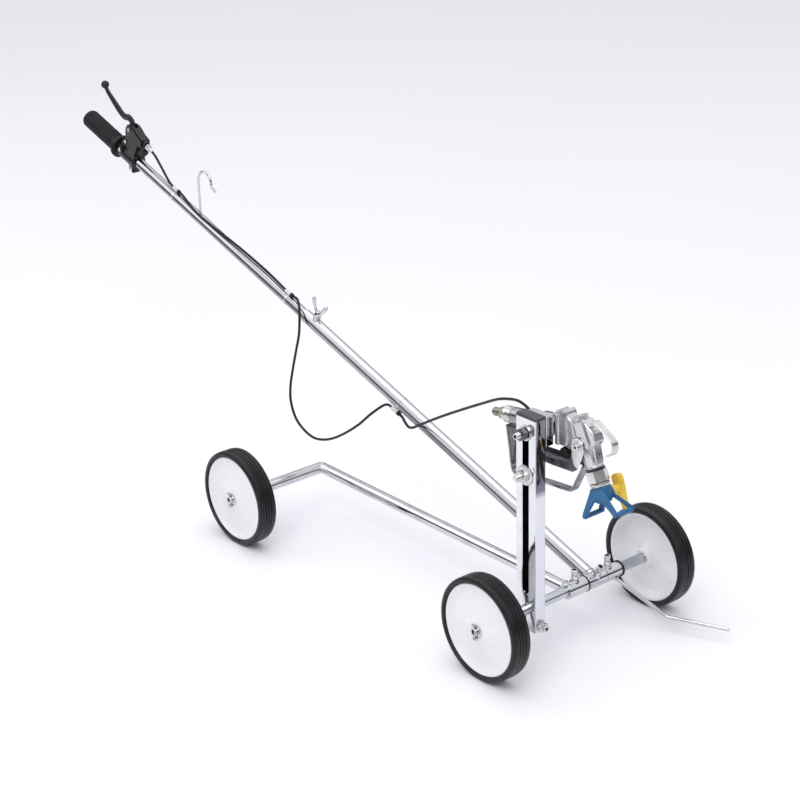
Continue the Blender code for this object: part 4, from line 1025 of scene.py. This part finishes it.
def lever():
    pin = rod(on_handle(*LEVER_PIVOT, -11.4), on_handle(*LEVER_PIVOT, 11.4), 3.0, 32, 0.4)
    heads = [rod(on_handle(*LEVER_PIVOT, s * 10.2), on_handle(*LEVER_PIVOT, s * 12.4), 4.0, 32, 0.7, 1.5, 1.0)
             for s in (-1, 1)]
    piece("lever_pivot_screw", "handle_upper", "zinc_steel", ["lever_pin"], (pin, ZINC),
          *all_in(STRAP, *heads))
    route = [(1270, 50), (1278, 55), (1286, 66), (1297, 68.5), (1308, 64), (1322, 65), (1349, 74), (1372, 83)]
    path = handle_curve(route + [(1381, 90)], 3.0)
    radii = []
    for i in range(len(path)):
        share = i / (len(path) - 1)
        taper = 2.4 * min(1.0, share * 1.5)
        radii.append(7.2 - taper + 1.3 * math.exp(-((share - 0.62) / 0.20) ** 2))
    blade = sweep(path, radii, 28, LEVER_T / 13.5 * 1.25, on_handle(0, 1) - on_handle(0, 0))
    piece("lever_blade", "brake_lever", "black_lever", ["brake_lever"],
          *all_in(LEVER, blade, ball(on_handle(1382, 91), 7.5)))


def adjuster():
    """The cable's ribbed adjusting barrel."""
    start, end = on_handle(1234.8, 46.2), on_handle(1213.8, 43.2)
    profile = [(0.0, 21.6), (2.7, 21.6), (3.0, 21.0), (3.0, 14.6), (4.6, 14.2), (5.4, 13.4)]
    ridge = 12.6
    while ridge > 5.5:
        profile += [(5.5, ridge), (5.1, ridge - 0.5), (5.5, ridge - 1.0)]
        ridge -= 1.2
    profile += [(5.2, 4.6), (4.2, 3.8), (4.2, 0.0), (0.0, 0.0)]
    piece("adjuster_barrel", "handle_upper", "zinc_steel", ["cable_adjuster"],
          (lathe(profile, start, end - start, 48), ZINC))


def wing():
    out = on_handle(WING_T, 1) - on_handle(WING_T)
    profile = [(0.0, 9.6), (3.4, 9.4), (4.6, 8.2), (6.0, 3.0), (6.4, 0.8), (6.0, 0.0), (0.0, 0.0)]
    shapes = [rod(on_handle(WING_T, UPPER_R + 0.3), on_handle(WING_T, 22.0), 3.0, 32, 0.3)]
    shapes.append(lathe(profile, on_handle(WING_T, 18.6), out, 48))
    for side in (-1, 1):
        route = [(WING_T + side * reach, n) for reach, n in ((2, 22.5), (7, 27), (12, 35), (16.5, 44))]
        path = handle_curve(route, 1.5)
        radii = [3.0 + 1.5 * (i / (len(path) - 1)) ** 1.5 for i in range(len(path))]
        shapes.append(sweep(path, radii, 20, 0.55, on_handle(1) - on_handle(0)))
        shapes.append(ball(path[-1], 3.6, 20, 12))
    piece("wing_screw", "wing_bolt", "chrome", ["wing_bolt"], *all_in(CHROME, *shapes))


# ---- gun ----


def gun_mount():
    half, face = POST_X / 2, POST_Y - POST_T / 2 - GAP
    block = box((-half, BLOCK_Y[0], BLOCK_Z[0]), (half, BLOCK_Y[1], BLOCK_Z[1]), 1.2, 3)
    ring = collar(on_gun_grip(-10), on_gun_grip(10), 16.5, GUN_GRIP_R + 0.1, 1.2, 96)
    stud = thread(at(0, BLOCK_Y[0] + 1, STUD_Z), at(0, face - 20, STUD_Z), 5.0, 1.5, 0.6)
    # painted shade: a dark disc in the stud's hollow end
    socket = rod(at(0, face - 19.9, STUD_Z), at(0, face - 20.15, STUD_Z), 2.9, 32)
    piece("slide_block", "gun_carriage", "chrome", ["gun_slider"], (block, BLOCK_CHROME), (ring, CHROME),
          (stud, ZINC), (socket, PAINTED_SHADE))
    nut = hexagon(at(0, face - 12.5, STUD_Z), at(0, face - 2.0, STUD_Z), 9.8, 1.0, 5.0)
    flange = collar(at(0, face - 2.0, STUD_Z), at(0, face, STUD_Z), 11.5, 5.0)
    piece("stud_lock_nut", "gun_carriage", "zinc_steel", ["stud_nut"], (nut, DARK), (flange, ZINC))
    back = POST_Y + POST_T / 2 + GAP
    bolt = thread(at(0, back + 9, LOW_BOLT_Z), at(0, face - 21, LOW_BOLT_Z), 5.0, 1.5, 0.6)
    washer = lathe([(0.0, 2.2), (13.6, 2.2), (15.2, 1.6), (15.5, 0.9), (15.0, 0.0), (0.0, 0.0)],
                   at(0, face, LOW_BOLT_Z), (0, -1, 0))
    head = hexagon(at(0, face - 1.8, LOW_BOLT_Z), at(0, face - 10.5, LOW_BOLT_Z), 9.8, 1.0)
    piece("slot_bolt", "gun_carriage", "zinc_steel", ["low_slide_bolt"], *all_in(ZINC, bolt, washer, head))
    nut = hexagon(at(0, back, LOW_BOLT_Z), at(0, back + 8, LOW_BOLT_Z), 10.0, 0.9, 5.0)
    piece("slot_bolt_nut", "gun_carriage", "zinc_steel", ["low_slide_nut"], (nut, ZINC))
    cable_stop(*CABLE_STOP)


def cable_stop(x, y, z):
    barrel = rod(at(x, y, z - 14), at(x, y, z - 0.3), 4.0, 36, 0.5)
    arm = prism([(x, 334), (8, 343), (8, 352), (x, 341)], -25.4, -23.0, 0.4)
    wire = rod(at(x, y, z - 17.5), at(x, y, z - 14), 1.1, 16)
    piece("casing_stop", "gun_carriage", "zinc_steel", ["cable_stop"], (barrel, ZINC), (arm, STRAP),
          (wire, DARK))


def ribbon(path, half_width):
    """The (x, z) outline of a strap that follows a path."""
    left, right = [], []
    for i, (x, z) in enumerate(path):
        before, after = Vector(path[max(i - 1, 0)]), Vector(path[min(i + 1, len(path) - 1)])
        along = (after - before).normalized()
        left.append((x - along.y * half_width, z + along.x * half_width))
        right.append((x + along.y * half_width, z - along.x * half_width))
    return left + right[::-1]


def curve_xz(points, spacing):
    return [(p.x, p.y) for p in smooth([(x, z, 0.0) for x, z in points], spacing)]


def gun_prism(outline, half, edge, segments=2):
    return prism(outline, GUN_Y - half, GUN_Y + half, edge, segments)


def barrel_outline(*points):
    return [barrel_xz(s, q) for s, q in points]


def gun_casting():
    core = [(22, 339), (22, 384), (38, 391), (47, 384), *barrel_outline((-85, -11), (-85, 12)), (93, 377)]
    core += [(99, 364), *barrel_outline((-42, 11), (-40, -9)), (57, 337), (42, 339)]
    rear_fin = [(20.3, 338.5), (20.3, 386), (22.5, 391), (26.5, 391), (28, 386), (28, 338.5)]
    front_fin = [(30, 341), (30, 372), (31, 386), (34, 394), (38.5, 394), (42, 386), (43, 372), (45, 352)]
    front_fin = curve_xz(front_fin + [(42, 341)], 4.0)
    shoulder = gun_prism(barrel_outline((-84, -13), (-84, 13), (-52, 15), (-44, 12), (-44, -12), (-60, -15)),
                         12.0, 1.8, 3)
    window = barrel_outline((-80, -8), (-80, 8), (-60, 9), (-60, -9))
    windows = [prism(window, *span, 0.9) for span in ((GUN_Y - 14, GUN_Y - 10.6), (GUN_Y + 10.6, GUN_Y + 14))]
    up_barrel = on_barrel(0) - on_barrel(1)
    neck = [(0.0, 0.0), (11.6, 0.0), (13.2, 2.4), (13.2, 22.0), (12.2, 30.0), (10.4, 40.0), (0.0, 40.0)]
    flange = [(0.0, 0.0), (12.6, 0.0), (12.9, 0.6), (12.9, 2.2), (12.2, 3.4), (0.0, 3.4)]
    facet = barrel_outline((-20, 10), (-20, 14.6), (-50, 19.5), (-55, 17.5), (-55, 9))
    shapes = [gun_prism(core, 9.5, 1.6, 3), gun_prism(rear_fin, 12.0, 1.6, 3)]
    shapes += [gun_prism(front_fin, 12.0, 1.2), carved(shoulder, *windows)]
    shapes.append(softened(*lathe(neck, on_barrel(-15.4), up_barrel, 8), 0.7, 2, 25))
    shapes += [gun_prism(facet, 6.5, 1.2), lathe(flange, on_barrel(-15.4), up_barrel)]
    shapes.append(hexagon(on_barrel(-84), on_barrel(-92), 11.8, 1.0))
    shapes.append(collar(on_barrel(-91.6), on_barrel(-92.3), 6.4, 4.8, 0.2))
    piece("gun_casting", "gun_carriage", "cast_aluminium", ["gun_head"], *all_in(CAST, *shapes))


def gun_grip():
    tube = collar(on_gun_grip(-76), on_gun_grip(18), GUN_GRIP_R, 7.5, 0.8)
    ribs = [collar(on_gun_grip(u), on_gun_grip(u + 2.2), GUN_GRIP_R + 0.25, 11, 0.5) for u in (-72, -66, 12)]
    piece("gun_grip_tube", "gun_carriage", "dark_steel", ["gun_grip"], *all_in(STRAP, tube, *ribs))
    fitting = [(9.0, 0.0), (11.4, 0.0), (12.4, 1.0), (12.5, 6.0), (11.8, 7.0), (11.8, 9.0), (12.5, 10.0)]
    fitting += [(12.5, 13.6), (11.6, 14.6), (9.0, 14.6)]
    start, end = on_gun_grip(-76.4), on_gun_grip(-90)
    hexes = hexagon(end, on_gun_grip(-99), 10.5, 0.9, 6.5)
    piece("swivel_fitting", "gun_carriage", "zinc_steel", ["grip_fitting"],
          (lathe(fitting, start, end - start, ring=True), ZINC), (hexes, NICKEL))
    screw = thread(on_gun_grip(-104), on_gun_grip(-118), 6.5, 1.3, 0.7)
    neck = collar(on_gun_grip(-104.4), on_gun_grip(-99.4), 8.0, 3.0, 0.7)
    # painted shade: a dark disc in the hose thread's opening
    mouth = rod(on_gun_grip(-117.6), on_gun_grip(-118.15), 3.6, 32)
    piece("hose_thread", "hose_connector", "brass", ["hose_connector"], *all_in(NICKEL, screw, neck),
          (mouth, PAINTED_SHADE))


def guard_and_hook():
    strap = [(73.5, 322), (68, 311), (58, 291), (50, 276), (42, 272.5), (-1, 268.6), (-62, 262), (-72, 263)]
    strap = curve_xz(strap + [(-76, 272), (-80, 300), (-86, 333)], 4.0)
    tail = [(-75, 270), (-79.5, 276), (-88.3, 331), (-86, 333.5), (-64, 333.5), (-62, 331), (-72, 280)]
    piece("guard_strap", "gun_carriage", "dark_steel", ["trigger_guard"],
          (gun_prism(ribbon(strap, 2.2), 6, 0.8), STRAP), (gun_prism(tail, 5.2, 1.0), TAIL))
    hook = [(85, 387.5), (90, 391), (100, 386.5), (116, 378), (124, 373), (127.5, 366), (126, 355)]
    hook = curve_xz(hook + [(115, 348)], 3.0)
    piece("nose_hook", "gun_carriage", "zinc_steel", ["gun_hook"], (gun_prism(ribbon(hook, 1.2), 6, 0.4, 1), CAST))


def gun():
    gun_casting()
    gun_grip()
    guard_and_hook()
    trigger()
    trigger_fittings()
    nozzle()
    tip_guard()
    spray_tip()


def trigger():
    cheek = curve_xz([(58, 352), (61, 360), (70, 362), (78, 357), (80, 346), (76, 334)], 3.0)
    cheek += [(68, 315), (60, 309), (20, 306.5), (-44, 306), (-46, 309), (-44, 313), (20, 317), (50, 321)]
    cheek.append((57, 334))
    web = [(57, 352), (60.5, 361), (70, 363), (79, 358), (81, 346), (76.5, 332), (69, 316.5), (62, 320)]
    web.append((58, 334))
    finger = [(-45, 306.4), (40, 307.5), (44, 312.4), (-20, 309.6), (-45, 309.4)]
    cheeks, webs = [], []
    for side in (-1, 1):
        low, high = sorted((GUN_Y + side * 12.5, GUN_Y + side * 14.5))
        cheeks.append(prism(cheek, low, high, 0.4, 1))
        low, high = sorted((GUN_Y + side * 12.5, GUN_Y + side * 14.66))
        webs.append(prism(web, low, high, 0.5, 1))
    bar = gun_prism(finger, 13, 0.8)
    piece("trigger_plates", "trigger", "dark_steel", ["trigger"], *all_in(DARK, *cheeks, bar), *all_in(CAST, *webs))


def trigger_fittings():
    """The trigger's pivot and the rubber roller behind it."""
    x, z = 68.0, 350.0
    plate = [(0.0, 0.9), (8.4, 0.9), (8.8, 0.6), (8.8, 0.0), (0.0, 0.0)]
    head = [(0.0, 2.6), (4.6, 2.6), (5.6, 1.8), (5.8, 0.0), (0.0, 0.0)]
    shapes = [(rod(at(x, GUN_Y - 14, z), at(x, GUN_Y + 14, z), 3.0, 32), ZINC)]
    for s in (-1, 1):
        inner, axis = GUN_Y + s * 14.7, (0, s, 0)
        shapes.append((lathe(plate, at(x, inner, z), axis, 48), CAST))
        shapes.append((lathe(head, at(x, inner + s * 1.0, z), axis, 48), ZINC))
        # painted shade: a dark hex in each screw head's socket
        shapes.append((rod(at(x, inner + s * 3.3, z), at(x, inner + s * 3.7, z), 2.4, 6), PAINTED_SHADE))
    piece("pivot_screws", "gun_carriage", "zinc_steel", ["trigger_pin"], *shapes)
    roller = [(0.0, 23.0), (2.6, 23.0), (2.8, 22.4), (5.8, 22.4), (7.2, 21.2), (7.5, 19.0), (7.5, 4.0)]
    roller += [(7.2, 1.8), (5.8, 0.6), (2.8, 0.6), (2.6, 0.0), (0.0, 0.0)]
    piece("bumper_roller", "gun_carriage", "black_rubber", ["trigger_stop"],
          (lathe(roller, at(37, GUN_Y - 11.5, 330.2), (0, 1, 0)), RUBBER))


def guard_plate(outline, side):
    """One of the guard's two side frames, which spread apart towards the paint."""
    loops = []
    for half_thick in (-2.6, 2.6):
        places = [(s + 0.05 * q, q, side * (9.0 + 0.19 * (s - 12.0)) + half_thick) for s, q in outline]
        loops.append([on_barrel(*place) for place in places])
    return softened(*between(*loops), 1.9, 3, 40)


def nozzle():
    gasket = collar(on_barrel(-15.1), on_barrel(-13.4), 14.2, 3.4, 0.3)
    piece("seat_washer", "gun_carriage", "black_rubber", ["nozzle_gasket"], (gasket, DARK))
    nut = hexagon(on_barrel(-13.2), on_barrel(6.5), 15.9, 1.6, 3.4)
    skirt = [(3.4, 0.0), (14.6, 0.0), (14.9, 1.2), (14.2, 4.0), (13.0, 5.4), (3.4, 5.4)]
    skirt = lathe(skirt, on_barrel(6.4), on_barrel(1) - on_barrel(0), ring=True)
    piece("retaining_nut", "tip_guard", "zinc_steel", ["tip_nut"], *all_in(ZINC, nut, skirt))


def tip_guard():
    rim = [(4.0, 0.0), (12.6, 0.0), (13.4, 0.9), (13.4, 3.4), (12.4, 4.6), (11.6, 14.0), (10.6, 22.0)]
    rim.append((4.0, 22.6))
    near = [(12.6, 12.4), (17, 13.6), (44, 33.0), (48.5, 35.6), (52.5, 35.4), (54.6, 32.4), (53.4, 28.4)]
    near += [(44, 20.5), (33, 9.0), (29.4, 3.5)]
    far = [(25.5, 9.8), (30, 15.5), (44, 32.2), (48.5, 35.6), (52.5, 35.4), (54.6, 32.4), (53, 27.6)]
    far += [(42, 18.5), (34, 8.0), (31.5, 5.4)]
    shapes = [lathe(rim, on_barrel(12.4), on_barrel(1) - on_barrel(0), ring=True)]
    shapes.append(guard_plate([*near, (28.5, 0.0), *[(s, -q) for s, q in reversed(near)]], -1))
    for side in (-1, 1):
        shapes.append(guard_plate([(s, side * q) for s, q in far], 1))
        bar = [on_barrel(50.8 + side * 1.6, side * 32.0, dy) for dy in (-14.5, -7, 0, 7, 14.5)]
        shapes.append(sweep(bar, 3.6))
    shapes.append(collar(on_barrel(TIP_S, 0, -12.6), on_barrel(TIP_S, 0, 13.1), 10.8, 6.3, 0.8))
    shapes.append(rod(on_barrel(TIP_S, 0, -11.2), on_barrel(TIP_S, 0, -12.8), 9.0, 48, 0.6))
    piece("guard_shell", "tip_guard", "blue_guard", ["tip_guard"], *all_in(BLUE, *shapes))


def spray_tip():
    """The reversing tip's barrel, its collar and the arrow that it is turned by."""
    barrel = rod(on_barrel(TIP_S, 0, -11), on_barrel(TIP_S, 0, 31), 6.2, 64, 0.5)
    ring = lathe([(0.0, 0.0), (8.8, 0.0), (9.6, 0.8), (9.6, 4.0), (8.8, 4.8), (0.0, 4.8)],
                 on_barrel(TIP_S, 0, 13.2), (0, 1, 0))
    edge = [(3.0, 5.5), (5.0, 8.4), (10, 9.5), (19, 9.0), (30, 7.4), (57, 3.6), (60.5, 2.2)]
    arrow = [(s, -q) for s, q in edge] + edge[::-1]
    arm = prism(barrel_outline(*arrow), GUN_Y + 29.4, GUN_Y + 38.4, 2.6, 4)
    rib = prism(barrel_outline((14, -2), (54, -1.2), (54, 1.2), (14, 2)), GUN_Y + 37.6, GUN_Y + 38.9, 0.4, 1)
    piece("tip_key", "spray_tip", "yellow_tip", ["spray_tip"], *all_in(YELLOW, barrel, ring, arm, rib))


def pointer():
    start, bend, end = Vector((0.0, 91.5, 69.5)), Vector((80.0, 125.7, 20.0)), Vector((169.0, 164.5, 20.0))
    path = [start.lerp(bend, share) for share in (0.0, 0.5, 0.95)]
    path += [bend.lerp(end, share) for share in (0.004, 0.05, 0.5, 0.99, 1.0)]
    wire = sweep([at(*p) for p in path], [3.0] * 7 + [2.2])
    root = [at(*start.lerp(bend, share)) for share in (0.0, 0.02, 0.05, 0.08)]
    bead = sweep(root, [4.4, 4.2, 3.7, 3.1], 20)
    piece("pointer_rod", "pointer", "chrome", ["pointer"],
          *all_in(CHROME, sleeve(SLEEVE_3), boss(POINTER_BOLT_Y, 0.0), wire, bead))
    lock_screw("pointer_screw", "pointer_lock_bolt", "pointer", POINTER_BOLT_Y, 0.0)


def inner_pieces():
    """The needle and the filter stay as the CAD has them, inside the gun."""
    for node, mat in (("needle", ZINC), ("paint_filter", WHITE)):
        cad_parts[node].data.materials.clear()
        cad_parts[node].data.materials.append(mat)


cables()
for side, (wheel_x, wheel_y) in WHEELS.items():
    wheel(side, wheel_x, wheel_y)
chassis()
handle()
gun_mount()
gun()
pointer()
inner_pieces()
studio()
bpy.context.scene.view_settings.view_transform = "Standard"
